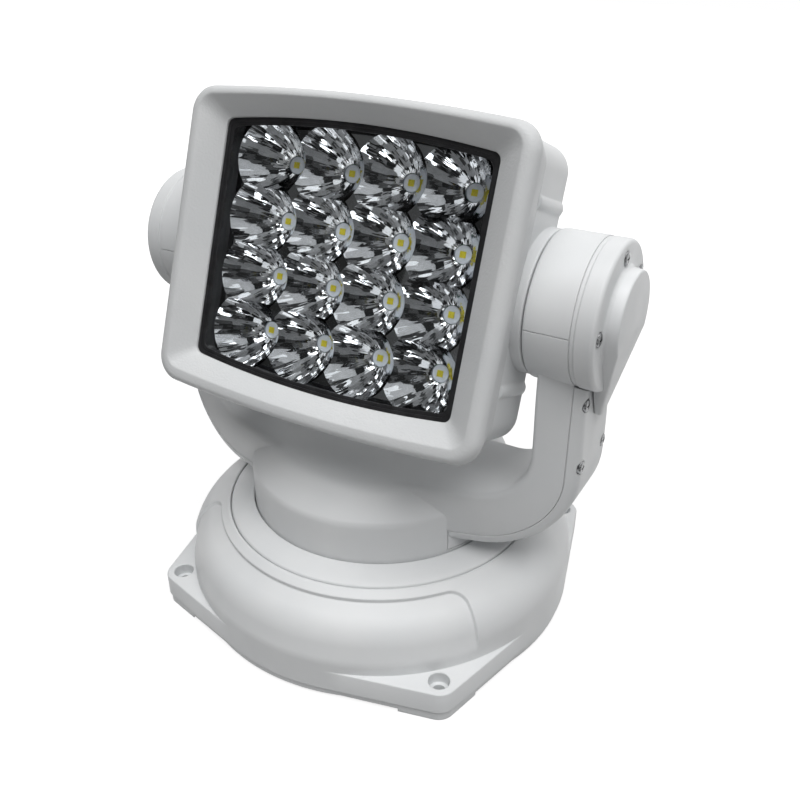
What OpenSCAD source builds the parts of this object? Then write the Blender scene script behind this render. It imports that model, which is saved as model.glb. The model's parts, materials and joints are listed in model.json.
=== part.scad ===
// Motorised marine searchlight: a domed deck base, a turning yoke and a tilting LED head.
// Millimetres, +Z up, the light faces -Y, and the origin is at the base's underside, in its middle.

/* [Base] */
// Outer radius of the base skirt
base_r = 88.4; // [85:0.2:92]
// Hole to hole distance of the square deck bolt pattern
deck_pitch = 132.8; // [128:0.2:138]
// Diameter of the deck bolt holes
deck_hole_d = 5.3; // [4.3:0.1:6.4]
// Diameter of the counterbore for a deck bolt's head
deck_cbore_d = 8.6; // [7.6:0.1:9.6]
// Depth of that counterbore
deck_cbore_depth = 5; // [3:0.5:7]
// Distance from a deck hole to the tip of its lug
lug_edge = 7.5; // [6.5:0.1:9]
// Rounding of a lug's tip
lug_round = 8; // [6:0.5:9]
// Height of the lugs
lug_h = 10.5; // [9:0.5:13]
// Height of the corner pads below the bottom plate
foot_h = 1.5; // [1:0.1:2.5]
// Length of a corner pad along each side, from its deck hole inwards
foot_l = 13; // [9:0.5:18]
// Thickness of the bottom plate
plate_t = 2.5; // [2:0.1:4]
// How far the plate's edge stands back from the housing's edge
plate_inset = 0.8; // [0.4:0.1:1.5]
// Wall of the base housing
base_wall = 3.2; // [2.4:0.1:4]
// Height of the dome's upper edge above the ground
dome_top = 43.9; // [43:0.1:47]
// Slope of the dome's upper part, in degrees
dome_slope = 32; // [28:0.5:36]
// Rounding between the skirt and the slope
dome_round = 18; // [14:0.5:20]
// Half angle of the front panel
panel_half = 57; // [40:1:62]
// Depth of the front panel below the dome
panel_depth = 1.4; // [0.6:0.1:2]
// Distance from the groove to the panel's upper edge
panel_margin = 4.7; // [3:0.1:8]
// Height of the panel's lower edge
panel_low = 19.5; // [17.5:0.5:21]
// Rounding of the panel's upper corners
panel_round = 7; // [3:0.5:10]
// Bore of the cable inlet
inlet_d = 7; // [5:0.5:9]

/* [Turntable] */
// Radius of the hub
hub_r = 58.1; // [56:0.1:60]
// Height where the hub's wall ends and its rounded edge starts
hub_shoulder = 63; // [61:0.2:65]
// Rounding between the hub's wall and its sloped top
hub_round = 5; // [3:0.5:7]
// Height of the hub's top above its shoulder
hub_rise = 14; // [12:0.5:16]
// Lean of the hub's sloped top, in degrees from the upright
hub_lean = 41; // [36:1:46]
// Wall of the hub
hub_wall = 3.5; // [2.6:0.1:4.5]
// Width of the trim ring round the hub
ring_w = 10.7; // [9:0.1:12]
// Rise of the trim ring from its outer to its inner edge
ring_rise = 3; // [1.5:0.1:4]
// Open gap along both edges of the trim ring
ring_gap = 0.45; // [0.35:0.05:0.6]
// Depth of the ring's seat below the dome's edge
seat_depth = 2.9; // [2.5:0.1:4]
// Radius of the pan spindle
spindle_r = 12; // [10:0.5:14]
// Wall of the pan spindle
spindle_wall = 3.5; // [2:0.1:4]

/* [Yoke] */
// Height of the tilt axis
tilt_z = 152.7; // [150:0.1:160]
// Half width of the yoke at the joint line of the arm covers
yoke_half = 92.3; // [91:0.1:96]
// Thickness of an arm
arm_t = 13.1; // [11:0.1:14]
// Half depth of an arm at the joint line
arm_half_d = 17; // [15:0.1:19]
// Growth of the half depth for each mm towards the middle
arm_taper = 0.309; // [0.25:0.005:0.33]
// Outer bend radius of the yoke
bend_out = 31; // [27:0.5:33]
// Inner bend radius of the yoke
bend_in = 20; // [16:0.5:24]
// Height of the yoke's underside at the joint line
yoke_low = 57.7; // [56.5:0.1:59]
// Depth of the wire channel in the arms
channel_d = 9; // [6:0.5:9.5]
// Half width of the wire channel
channel_half = 10.5; // [8:0.5:11]
// Thickness of the arm covers below their lower screws
cover_t = 5; // [3.8:0.1:5.5]
// Thickness of the arm covers along their edges and at the drums
cover_edge = 3.4; // [2.6:0.1:3.7]
// Chamfer along the edges of the arm covers
cover_chamfer = 3; // [1.5:0.1:3.2]
// Height of the lower cover screws
screw_low = 94; // [92:1:98]
// Height of the upper cover screws
screw_high = 121; // [112:1:122]
// Half spacing of the cover screws across an arm
screw_half = 12; // [10.5:0.1:12.5]
// How deep the cover screws are sunk
screw_sink = 1.2; // [0.4:0.1:1.6]

/* [Drums] */
// Radius of the drums
drum_r = 28.06; // [27:0.1:29]
// Distance of a drum's inner face, inwards from the joint line of the arm covers
drum_in = 17.4; // [16.3:0.1:17.9]
// Distance of a drum's outer edge, outwards from that joint line
drum_out = 0; // [-0.3:0.1:0.6]
// Wall of the drums
drum_wall = 2.6; // [2:0.1:3]
// Thickness of a drum's inner end wall
end_wall = 3; // [2.5:0.1:3.4]
// Width of the shallow groove between a drum and its cap
cap_gap = 1.6; // [0.8:0.1:2]
// Depth of that groove
cap_groove = 0.6; // [0.3:0.1:1]
// Length of the cap from its groove to its face
cap_l = 7.1; // [6:0.1:8]
// Rounding of the cap's edge
cap_round = 1.8; // [1.2:0.1:3.5]
// Radius of the cap's boss at its foot
boss_r = 18.6; // [17:0.1:19]
// Height of the boss above the cap's face
boss_h = 5.4; // [4.5:0.1:8]
// Draft of the boss
boss_draft = 0.6; // [0.3:0.1:2]
// Distance below the tilt axis where the boss starts to slope down to its tail
tail_start = 8; // [4:0.5:12]
// Distance from the tilt axis to the tip of the cap's tail
tail_l = 40.5; // [36:0.1:43]
// Rounding of the tail's tip
tail_r = 4.3; // [3:0.1:5]
// Thickness of the tail at its tip
tail_t = 2.4; // [1.4:0.1:3]
// Radius of the circle that the cap screws lie on
cap_screw_r = 22.3; // [21.8:0.1:22.8]
// How deep the cap screws are sunk
cap_sink = 0.9; // [0.3:0.1:1.2]
// Radius of a trunnion
trunnion_r = 9; // [8:0.1:9.5]
// Wall of a trunnion
trunnion_wall = 3; // [2:0.1:3.5]
// Wall of the tilt bushes
bush_wall = 3; // [2:0.1:3.5]

/* [Head] */
// Tilt of the head as it is stored, upwards, in degrees
rest_tilt = 20.73; // [0:0.01:30]
// Width of the head's bezel
head_w = 143.4; // [138:0.2:144]
// Height of the bezel in its middle
head_h = 121.8; // [116:0.2:123]
// Sagitta of the bezel's barrelled upper and lower edges
head_bow = 3.4; // [2:0.1:5]
// Rounding of the bezel's corners
head_round = 12; // [9:0.5:14]
// Distance from the tilt axis to the bezel's front
front_d = 41.5; // [41:0.1:43]
// Width of the clear window
window_w = 117.6; // [114:0.2:119]
// Height of the clear window in its middle
window_h = 102; // [98:0.2:104]
// Bow of the window's upper and lower edges
window_bow = 4; // [2:0.1:5]
// Width of the bezel's flat rim
rim_w = 6; // [4.5:0.1:7]
// Depth of the sloped window edge
slope_d = 6.5; // [5:0.1:7]
// Rounding between the bezel's front and its sides
rim_round = 4.5; // [3:0.1:5]
// Distance from the tilt axis to the seam between bezel and housing
seam_d = 22; // [21:0.1:23]
// Distance from the tilt axis back to the housing's rear
rear_d = 4; // [3.5:0.1:5]
// Wall of the head's housing
head_wall = 3; // [2.4:0.1:3.4]
// Thickness of the lens
lens_t = 2.4; // [2:0.1:2.8]
// Width of the black gasket that shows in the window
gasket_show = 1.7; // [1:0.1:2.2]
// Width of a screw rib on the head
rib_w = 6.4; // [5.8:0.1:7]
// Height of a screw rib above the head's surface
rib_h = 1.2; // [0.8:0.1:1.4]
// Half spacing of the ribs on the head's sides
rib_side = 34; // [32:0.5:37]
// Half spacing of the ribs on the head's top and bottom
rib_top = 47; // [44:0.5:50]

/* [Light] */
// Number of cups across
cups_u = 4; // [3:1:4]
// Number of cups in height
cups_v = 4; // [3:1:4]
// Spacing of the cups across
pitch_u = 27; // [26:0.1:27.4]
// Spacing of the cups in height
pitch_v = 23; // [22:0.1:23.6]
// Radius of a cup's mouth
cup_r = 15.6; // [14.5:0.1:16.4]
// Radius of the hole at a cup's bottom
cup_hole_r = 3.3; // [3.1:0.1:3.8]
// Depth of a cup
cup_depth = 21; // [20:0.1:21.4]
// Thickness of the light board
board_t = 1.6; // [1.2:0.1:2]
// Side of a light-emitting die
die_w = 2.5; // [2:0.1:3]

/* [Heat sink] */
// Number of fins
fins = 15; // [9:2:17]
// Thickness of a fin
fin_t = 2; // [1.5:0.1:2.4]
// Length of a fin behind its plate
fin_l = 23; // [16:0.5:25]
// Thickness of the heat sink's plate
sink_t = 4; // [3:0.1:5]

/* [Gears] */
// Module of the pan gears
pan_module = 1.5; // [1.2:0.05:1.6]
// Teeth of the pan gear
pan_teeth = 48; // [44:1:50]
// Teeth of the pan pinion
pan_pinion_teeth = 12; // [12:1:14]
// Module of the tilt gears
tilt_module = 0.9; // [0.8:0.02:0.94]
// Teeth of the tilt gear
tilt_teeth = 28; // [27:1:28]
// Teeth of the tilt pinion
tilt_pinion_teeth = 12; // [12:1:12]

/* [Fits] */
// Radial clearance of running and locating fits
fit = 0.05; // [0.02:0.01:0.08]
// Clearance between pieces that are set into one another
gap = 0.3; // [0.25:0.05:0.4]
// Radius of a screw's head
head_r = 2.6; // [2.3:0.1:2.8]
// Radius of a screw's shank
shank_r = 1.5; // [1.2:0.1:1.6]

/* [Hidden] */
$fn = 96;
hull_fn = 40;
corner_steps = 6;
bow_steps = 8;
eps = 0.01;
big = 400;

// Colours of the finishes
white = [0.86, 0.87, 0.88];
black = [0.05, 0.05, 0.06];
steel = [0.72, 0.73, 0.75];
chrome = [0.82, 0.83, 0.85];
alloy = [0.62, 0.63, 0.65];
brass = [0.78, 0.62, 0.3];
green = [0.1, 0.35, 0.2];

// Heights in the base
plate_z = foot_h;
housing_z = foot_h + plate_t;
lug_top = housing_z + lug_h;
groove_r = hub_r + ring_gap + ring_w + ring_gap;
seat_z = dome_top - seat_depth;
deck_under = seat_z - base_wall;
hub_low = seat_z + 1.6;
hub_top = hub_shoulder + hub_rise;
hub_top_r = hub_r - hub_round + hub_round * cos(hub_lean)
    - (hub_rise - hub_round * sin(hub_lean)) * tan(hub_lean);
cavity_r = base_r - base_wall;
plate_spigot = 3;
spigot_t = 2;

// The dome's rounding touches the skirt and the sloped upper part
round_r0 = base_r - dome_round;
slope_r = round_r0 + dome_round * sin(dome_slope);
slope_z = dome_top - (slope_r - groove_r) * tan(dome_slope);
round_z0 = slope_z - dome_round * cos(dome_slope);

// Lugs: tangents from each tip to the skirt's circle
lug_dist = deck_pitch / sqrt(2) + lug_edge - lug_round;
lug_angle = acos((base_r - lug_round) / lug_dist);
lug_root = 0.994;

// Columns for the base screws
column_r = 4.2;
column_ring = cavity_r - 7;
column_angles = [for (i = [0:5]) 30 + 60 * i];
ring_screw_angles = [for (i = [0:3]) 45 + 90 * i];
ring_mid = hub_r + ring_gap + ring_w / 2;

// Pan drive
bush_r = spindle_r + 3;
boss_out = bush_r + 5;
boss_low = deck_under - 16;
gear_top = boss_low - gap;
pan_gear_h = 7;
pan_gear_z = gear_top - 4 - pan_gear_h;
pan_centre = pan_module * (pan_teeth + pan_pinion_teeth) / 2;
pan_motor_r = 14;
spindle_low = pan_gear_z - 2.2;
spindle_top = hub_shoulder - 2;
board_z = housing_z + 4;
board_low_y = pan_module * (pan_teeth / 2 + 1) + 3;
board_d = column_ring - column_r - 3.5 - board_low_y;
board_w = 66;

// Yoke
arm_in = yoke_half - arm_t;
bend_x = yoke_half - bend_out;
bend_z = yoke_low + bend_out;
inner_bend_x = arm_in - bend_in;
yoke_half_d = arm_half_d + yoke_half * arm_taper;
cover_half = yoke_half + cover_t;
cover_full = screw_low + 4;
joint_gap = 0.15;
skirt_half = 29.5;
skirt_rear = arm_half_d - 0.5;
skirt_low = seat_z + seat_depth + ring_rise + 0.6;
skirt_t = 2.6;

// Drums and caps
drum_face = yoke_half - drum_in;
drum_edge = yoke_half + drum_out;
drum_bore = drum_r - drum_wall;
cap_face = drum_edge + cap_gap + cap_l;
boss_face = cap_face + boss_h;
cap_spigot = 2.5;
cap_screw_angles = [180, 92, 29];
tail_x = cover_out(tilt_z - tail_l) + gap;
bush_out = trunnion_r + bush_wall;
trunnion_end = drum_face + end_wall + 7.4;
flange_r = 18;
flange_t = 2.6;

// Tilt drive in the left drum
tilt_gear_w = 5;
tilt_gear_x = drum_face + end_wall + 1.6;
tilt_centre = tilt_module * (tilt_teeth + tilt_pinion_teeth) / 2;
bracket_x = tilt_gear_x + tilt_gear_w + 1.4;
bracket_t = 1.8;
motor_end = cap_face - 3;
tilt_motor_r = 5;
tilt_shaft_r = 1.5;
tilt_drive_turn = -135;

// Head: half sizes, and distances d in front of the tilt axis
half_w = head_w / 2;
half_h = head_h / 2;
win_half_w = window_w / 2;
win_half_h = window_h / 2;
skirt_in = 1.5;
slope_w = half_w - rim_w - win_half_w;
win_d = front_d - slope_d;
land_t = 1;
lens_front = win_d - land_t - 0.8;
lens_back = lens_front - lens_t;
house_w = half_w - skirt_in - 0.2;
house_h = half_h - skirt_in - 0.2;
house_round = head_round - 1;
pocket_grow = 3.8;
spigot_w = half_w - 5;
spigot_h = half_h - 4.6;
spigot_round = 8;
reflector_w = win_half_w + 0.4;
reflector_h = win_half_h + 0.2;
window_round = 3.2;
mouth_d = lens_back - 0.4;
cup_low = mouth_d - cup_depth;
board_front = cup_low - 1.4;
board_back = board_front - board_t;
cheek_r = 20;
cheek_t = 8;
cheek_x = house_w;
sink_w = win_half_w - 1;
sink_h = win_half_h - 1;
rib_r = rib_w / 2 + 0.2;
rib_sink = rib_r - rib_h;

// Points of an arc from angle a0 to a1
function arc(c, r, a0, a1, n) = [
    for (i = [0:n])
        c + r * [cos(a0 + (a1 - a0) * i / n), sin(a0 + (a1 - a0) * i / n)]
];

// Outline of a barrelled rectangle with round corners: half width a, half height b, bow s, rounding r
function barrel_points(a, b, s, r) =
    let (
        bow_r = (a * a + s * s) / (2 * s),
        bow_c = b - bow_r,
        cu = a - r,
        cv = bow_c + sqrt(pow(bow_r - r, 2) - cu * cu),
        turn = atan2(cv - bow_c, cu),
        bow = arc([0, bow_c], bow_r, turn, 180 - turn, bow_steps),
        low_bow = arc([0, -bow_c], bow_r, 180 + turn, 360 - turn, bow_steps)
    )
    concat(
        arc([cu, cv], r, 0, turn, corner_steps),
        [for (i = [1:bow_steps - 1]) bow[i]],
        arc([-cu, cv], r, 180 - turn, 180, corner_steps),
        arc([-cu, -cv], r, 180, 180 + turn, corner_steps),
        [for (i = [1:bow_steps - 1]) low_bow[i]],
        arc([cu, -cv], r, 360 - turn, 360, corner_steps)
    );

// Involute angle in degrees at radius r for base radius rb
function involute(rb, r) = tan(acos(min(1, rb / r))) * 180 / PI - acos(min(1, rb / r));

// Outline of a spur gear with a tooth centred on +X
function gear_points(m, n) =
    let (
        pressure = 25,
        backlash = 0.12 * m,
        pitch = m * n / 2,
        rb = pitch * cos(pressure),
        root = pitch - 1.2 * m,
        tip = pitch + 0.9 * m,
        low = max(rb, root + 0.1 * m),
        half = 90 / n - backlash / pitch * 90 / PI + involute(rb, pitch),
        radii = [root, low, low + (tip - low) / 3, low + (tip - low) * 2 / 3, tip],
        side = [for (r = radii) [r, half - involute(rb, max(r, rb))]]
    )
    [for (k = [0:n - 1], j = [0:9])
        let (q = j < 5 ? side[j] : side[9 - j], a = 360 * k / n + (j < 5 ? -q[1] : q[1]))
        q[0] * [cos(a), sin(a)]];

// Repeats its children on both sides of the X = 0 plane
module both_sides() {
    children();
    mirror([1, 0, 0]) children();
}

// Turns a profile in (radius, x) about the tilt axis
module about_tilt() {
    translate([0, 0, tilt_z]) rotate([0, 90, 0]) rotate_extrude() children();
}

// A ring or cylinder along the tilt axis, from x0 to x1
module tilt_ring(r_out, r_in, x0, x1) {
    translate([x0, 0, tilt_z]) rotate([0, 90, 0]) difference() {
        cylinder(r = r_out, h = x1 - x0);
        if (r_in > 0) translate([0, 0, -1]) cylinder(r = r_in, h = x1 - x0 + 2);
    }
}

// Places the head's own frame, facing -Y when level, at its stored tilt
module head_frame() {
    translate([0, 0, tilt_z]) rotate([-rest_tilt, 0, 0]) children();
}

// An upright plate in the head's frame with the outline of its child, between distances d0 and d1
module head_slab(d0, d1) {
    translate([0, -d0, 0]) rotate([90, 0, 0]) linear_extrude(d1 - d0) children();
}

// Barrelled rectangle as a flat shape
module barrel(a, b, s, r) {
    polygon(barrel_points(a, b, s, r));
}

// Every cup's place in the head's frame
module at_cups() {
    for (i = [0:cups_u - 1], j = [0:cups_v - 1])
        translate([(i - (cups_u - 1) / 2) * pitch_u, 0, (j - (cups_v - 1) / 2) * pitch_v]) children();
}

// Places a child at the end of each rib: a child drawn towards +Z points backwards
module at_ribs() {
    for (s = [-1, 1], t = [-1, 1]) {
        translate([s * (house_w - rib_sink), 0, t * rib_side]) rotate([-90, 0, 0]) children();
        translate([s * rib_top, 0, t * (rib_edge() - rib_sink)]) rotate([-90, 0, 0]) children();
    }
}

// Distance of a cover's outer face from the middle at height z: it thins towards the drum
function cover_out(z) =
    cover_half - (cover_t - cover_edge) * max(0, z - cover_full) / (tilt_z - cover_full);

// Height of the barrelled housing edge at the top ribs
function rib_edge() =
    let (bow_r = (house_w * house_w + head_bow * head_bow) / (2 * head_bow))
    house_h - bow_r + sqrt(bow_r * bow_r - rib_top * rib_top);

// Pan-head screw, head upwards from z = 0, shank downwards, with a cross recess
module screw(length) {
    difference() {
        union() {
            rotate_extrude() polygon(concat(
                [[0, 0], [head_r, 0], [head_r, 0.7]],
                [for (a = [15:15:75]) [head_r - 0.9 + 0.9 * cos(a), 0.7 + 0.9 * sin(a)]],
                [[head_r - 0.9, 1.6], [0, 1.75]]
            ));
            translate([0, 0, -length]) cylinder(r = shank_r, h = length + eps);
        }
        for (a = [0, 90]) rotate(a) translate([-1.4, -0.3, 0.9]) cube([2.8, 0.6, 2]);
    }
}

// Outline of the base with its four lugs, drawn in by an inset
module base_outline(inset) {
    circle(r = base_r - inset);
    for (k = [0:3]) rotate(45 + 90 * k) {
        translate([lug_dist, 0]) circle(r = lug_round - inset);
        polygon([
            [0, 0],
            lug_root * (base_r - inset) * [cos(lug_angle), -sin(lug_angle)],
            [lug_dist, 0] + (lug_round - inset) * [cos(lug_angle), -sin(lug_angle)],
            [lug_dist, 0] + (lug_round - inset) * [cos(lug_angle), sin(lug_angle)],
            lug_root * (base_r - inset) * [cos(lug_angle), sin(lug_angle)]
        ]);
    }
}

// The four deck holes' places
module at_deck_holes() {
    for (sx = [-1, 1], sy = [-1, 1]) translate([sx * deck_pitch / 2, sy * deck_pitch / 2, 0]) children();
}

// Profile of the dome in (radius, z), drawn in by an inset, down to z0 and inwards to radius r0
module dome_profile(inset, z0, r0) {
    rise = inset / cos(dome_slope);
    polygon(concat(
        [[r0, z0], [base_r - inset, z0]],
        arc([round_r0, round_z0], dome_round - inset, 0, 90 - dome_slope, 10),
        [[groove_r, dome_top - rise], [r0, dome_top - rise]]
    ));
}

// The panel's plan view: a sector whose inner corners are round
module panel_plan() {
    r_in = groove_r + panel_margin;
    lean = asin(panel_round / (r_in + panel_round));
    along = sqrt(pow(r_in + panel_round, 2) - panel_round * panel_round);
    difference() {
        polygon(concat([[0, 0]], arc([0, 0], 2 * base_r, -90 - panel_half, -90 + panel_half, 12)));
        circle(r = r_in);
        for (s = [-1, 1]) rotate(-90 + s * panel_half) difference() {
            polygon([
                [0, 0],
                [along, 0],
                (r_in + panel_round) * [cos(lean), -s * sin(lean)]
            ]);
            translate((r_in + panel_round) * [cos(lean), -s * sin(lean)]) circle(r = panel_round);
        }
    }
}

// What is cut away to sink the front panel into the dome
module panel_cut() {
    intersection() {
        translate([0, 0, panel_low - 1]) linear_extrude(dome_top) panel_plan();
        rotate_extrude() difference() {
            translate([groove_r, panel_low]) square([base_r - groove_r + 5, dome_top]);
            polygon(concat(
                [[groove_r - 1, 0], [base_r, 0], [base_r, panel_low]],
                arc([round_r0, round_z0], dome_round - panel_depth, 0, 90 - dome_slope, 10),
                [[groove_r - 1, dome_top - panel_depth / cos(dome_slope) + tan(dome_slope)]]
            ));
        }
    }
}

module base_housing() {
    color(white) difference() {
        union() {
            difference() {
                union() {
                    rotate_extrude() dome_profile(0, housing_z, 0);
                    translate([0, 0, housing_z]) linear_extrude(lug_h) base_outline(0);
                }
                rotate_extrude() difference() {
                    dome_profile(base_wall, housing_z - 1, 0);
                    translate([0, deck_under]) square([groove_r + base_wall, big]);
                }
            }
            // Bearing boss under the deck
            translate([0, 0, boss_low]) cylinder(r = boss_out, h = seat_z - boss_low);
            // Screw columns, ended inside the dome's wall
            intersection() {
                for (a = column_angles)
                    rotate(a) translate([column_ring, 0, housing_z]) cylinder(r = column_r, h = dome_top);
                rotate_extrude() dome_profile(base_wall / 2, housing_z, 0);
            }
        }
        // Seat of the trim ring and the hub
        translate([0, 0, seat_z]) cylinder(r = groove_r, h = big);
        panel_cut();
        translate([0, 0, boss_low - 1]) cylinder(r = bush_r + fit, h = big);
        for (a = column_angles)
            rotate(a) translate([column_ring, 0, housing_z - 1]) cylinder(r = shank_r + fit, h = 11);
        for (a = ring_screw_angles)
            rotate(a) translate([ring_mid, 0, deck_under - 1])
                cylinder(r = shank_r + fit, h = base_wall + 2);
        at_deck_holes() {
            translate([0, 0, housing_z - 1]) cylinder(d = deck_hole_d, h = lug_h + 2);
            translate([0, 0, lug_top - deck_cbore_depth]) cylinder(d = deck_cbore_d, h = big);
        }
    }
}

module base_plate() {
    spigot_out = cavity_r - gap;
    seat = plate_z + plate_t / 2;
    color(white) difference() {
        union() {
            linear_extrude(housing_z) base_outline(plate_inset);
            translate([0, 0, seat]) difference() {
                cylinder(r = spigot_out, h = housing_z + plate_spigot - seat);
                translate([0, 0, -1]) cylinder(r = spigot_out - spigot_t, h = big);
            }
            // Board pillars
            for (s = [-1, 1], t = [1, 5])
                translate([s * (board_w / 2 - 5), -board_low_y - board_d * t / 6, seat])
                    cylinder(r = 2.5, h = board_z - seat);
        }
        // The underside is raised between the corner pads
        translate([0, 0, -1]) linear_extrude(plate_z + 1) difference() {
            square(big, center = true);
            at_deck_holes() square(2 * foot_l, center = true);
        }
        at_deck_holes() translate([0, 0, -1]) cylinder(d = deck_hole_d, h = housing_z + 2);
        for (a = column_angles) rotate(a) translate([column_ring, 0, -1]) {
            cylinder(r = shank_r + fit, h = big);
            cylinder(r = head_r + fit, h = plate_z + 2.75);
        }
        translate([0, 0, -1]) cylinder(d = inlet_d + 6 + 2 * fit, h = big);
    }
}

module base_seal() {
    color(black) translate([0, 0, housing_z + plate_spigot]) rotate_extrude()
        translate([cavity_r - gap - 1.2, 0]) square([1.2, 1.4]);
}

module base_screws() {
    color(steel) {
        for (a = column_angles)
            rotate(a) translate([column_ring, 0, plate_z + 1.75]) rotate([180, 0, 0]) screw(9);
        for (a = ring_screw_angles)
            rotate(a) translate([ring_mid, 0, deck_under]) rotate([180, 0, 0]) screw(base_wall + 3);
    }
}

module retaining_ring() {
    r0 = hub_r + ring_gap;
    r1 = r0 + ring_w;
    crest = dome_top + ring_rise;
    color(white) difference() {
        rotate_extrude() polygon(concat(
            [[r0, seat_z], [r1, seat_z]],
            arc([r1 - 0.8, dome_top - 1], 0.8, 0, 60, 4),
            [[r1 - 3, dome_top + 0.75]],
            arc([r0 + 0.6, crest - 0.6], 0.6, 80, 180, 4)
        ));
        for (a = ring_screw_angles)
            rotate(a) translate([ring_mid, 0, seat_z - 1]) cylinder(r = shank_r + fit, h = 4.2);
    }
}

module pan_bush() {
    color(brass) difference() {
        union() {
            translate([0, 0, boss_low]) cylinder(r = bush_r, h = seat_z - boss_low + eps);
            translate([0, 0, seat_z]) cylinder(r = bush_r + 4, h = hub_low - seat_z - gap);
        }
        translate([0, 0, boss_low - 1]) cylinder(r = spindle_r + fit, h = big);
    }
}

module pan_motor() {
    color(alloy) difference() {
        union() {
            // Can, gear head and the ears that screw to the deck
            translate([0, pan_centre, gear_top + 1])
                cylinder(r = pan_motor_r, h = deck_under - gear_top - 1);
            translate([-pan_motor_r - 6, pan_centre - 5, deck_under - 2.5])
                cube([2 * pan_motor_r + 12, 10, 2.5]);
            translate([0, pan_centre, gear_top]) cylinder(r = 6, h = 2);
        }
        translate([0, pan_centre, gear_top - 1]) cylinder(r = 3 + fit, h = 13);
    }
}

module pan_pinion() {
    color(brass) translate([0, pan_centre, 0]) {
        translate([0, 0, pan_gear_z]) rotate(-90 + 180 / pan_pinion_teeth)
            linear_extrude(pan_gear_h) polygon(gear_points(pan_module, pan_pinion_teeth));
        translate([0, 0, pan_gear_z - 1]) cylinder(r = 3, h = gear_top + 11 - pan_gear_z);
    }
}

module control_board() {
    color(green) translate([0, -board_low_y - board_d, board_z]) {
        translate([-board_w / 2, 0, 0]) cube([board_w, board_d, board_t]);
        // Relays, capacitors, driver and plug rows
        for (x = [-26, -8, 10]) translate([x, board_d / 5, board_t - 0.1]) cube([15, board_d * 2 / 5, 11]);
        for (x = [-24, -14, -4])
            translate([x, board_d * 4 / 5, board_t - 0.1]) cylinder(r = board_d * 2 / 15, h = 10);
        translate([8, board_d * 7 / 10, board_t - 0.1]) cube([20, board_d / 5, 6]);
    }
}

module cable_grommet() {
    color(black) difference() {
        union() {
            translate([0, 0, plate_z - 1]) cylinder(r = inlet_d / 2 + 5, h = 1);
            translate([0, 0, plate_z - 0.5]) cylinder(r = inlet_d / 2 + 3, h = plate_t + 1);
            translate([0, 0, housing_z]) cylinder(r = inlet_d / 2 + 5, h = 1.5);
        }
        translate([0, 0, -1]) cylinder(d = inlet_d, h = 20);
    }
}

// Front view of the yoke's outside, larger by grow
module yoke_outside(grow) {
    for (s = [-1, 1]) translate([s * bend_x, bend_z]) circle(r = bend_out + grow);
    translate([-bend_x, yoke_low - grow]) square([2 * bend_x, tilt_z - yoke_low + grow]);
    translate([-yoke_half - grow, bend_z]) square([2 * (yoke_half + grow), tilt_z - bend_z]);
}

// Front view of the space between the arms
module yoke_inside() {
    z0 = hub_top + bend_in;
    for (s = [-1, 1]) translate([s * inner_bend_x, z0]) circle(r = bend_in);
    translate([-inner_bend_x, hub_top]) square([2 * inner_bend_x, big]);
    translate([-arm_in, z0]) square([2 * arm_in, big]);
}

// Front-view shape drawn out along Y, half the depth to each side
module front_prism(half) {
    translate([0, half, 0]) rotate([90, 0, 0]) linear_extrude(2 * half) children();
}

// Plan view of the yoke: flat at the rear, and in front deepest in the middle and tapered to the arms
module yoke_plan(inset, reach) {
    front = arm_half_d - (reach - yoke_half) * arm_taper - inset;
    rear = arm_half_d - inset;
    polygon([[-reach, -front], [0, inset - yoke_half_d], [reach, -front], [reach, rear], [-reach, rear]]);
}

// Lower (side -1) or upper (side 1) half of the space at the tilt axis
module half_space(side) {
    translate([-big / 2, -big / 2, side > 0 ? tilt_z + 0.1 : tilt_z - big]) cube([big, big, big]);
}

// Whole drum on the right side, with its inner end wall and bush seat
module drum() {
    about_tilt() polygon(concat(
        [[bush_out + fit, drum_face], [drum_r - 1.2, drum_face]],
        arc([drum_r - 1.2, drum_face + 1.2], 1.2, -60, 0, 4),
        [[drum_r, drum_edge], [drum_bore, drum_edge], [drum_bore, drum_face + end_wall],
         [bush_out + fit, drum_face + end_wall]]
    ));
}

module yoke_body() {
    color(white) difference() {
        union() {
            rotate_extrude() polygon(concat(
                [[0, hub_low], [hub_r, hub_low]],
                arc([hub_r - hub_round, hub_shoulder], hub_round, 0, hub_lean, 8),
                [[hub_top_r, hub_top], [0, hub_top]]
            ));
            intersection() {
                front_prism(big / 2) difference() {
                    yoke_outside(0);
                    yoke_inside();
                }
                linear_extrude(tilt_z) yoke_plan(0, yoke_half);
                // The arms end inside the drums
                translate([-big / 2, -big / 2, 0]) cube([big, big, tilt_z - drum_r / 2]);
            }
            intersection() {
                both_sides() drum();
                half_space(-1);
            }
        }
        // Hollow hub, with the spindle's socket left standing
        rotate_extrude() difference() {
            polygon([
                [0, hub_low - 1],
                [hub_r - hub_wall, hub_low - 1],
                [hub_r - hub_wall, hub_shoulder],
                [hub_top_r + hub_wall * tan(hub_lean) - hub_wall / cos(hub_lean), hub_top - hub_wall],
                [0, hub_top - hub_wall]
            ]);
            translate([0, hub_low]) square([spindle_r + 5, big]);
        }
        translate([0, 0, hub_low - 1]) cylinder(r = spindle_r + fit, h = spindle_top - hub_low + 1);
        both_sides() {
            tilt_ring(drum_bore, 0, drum_face + end_wall, drum_edge + 1);
            tilt_ring(bush_out + fit, 0, drum_face - 1, drum_edge);
            // Wire channel under the cover
            front_prism(channel_half) difference() {
                yoke_outside(1);
                yoke_outside(-channel_d);
                translate([-big, 0]) square([big + hub_r - hub_wall - 3, big]);
            }
            // Sunk land of the cover's skirt on the hub
            cover_skirt(joint_gap);
            cover_screw_places() translate([0, 0, -9]) cylinder(r = shank_r + fit, h = 9);
        }
    }
}

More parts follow.
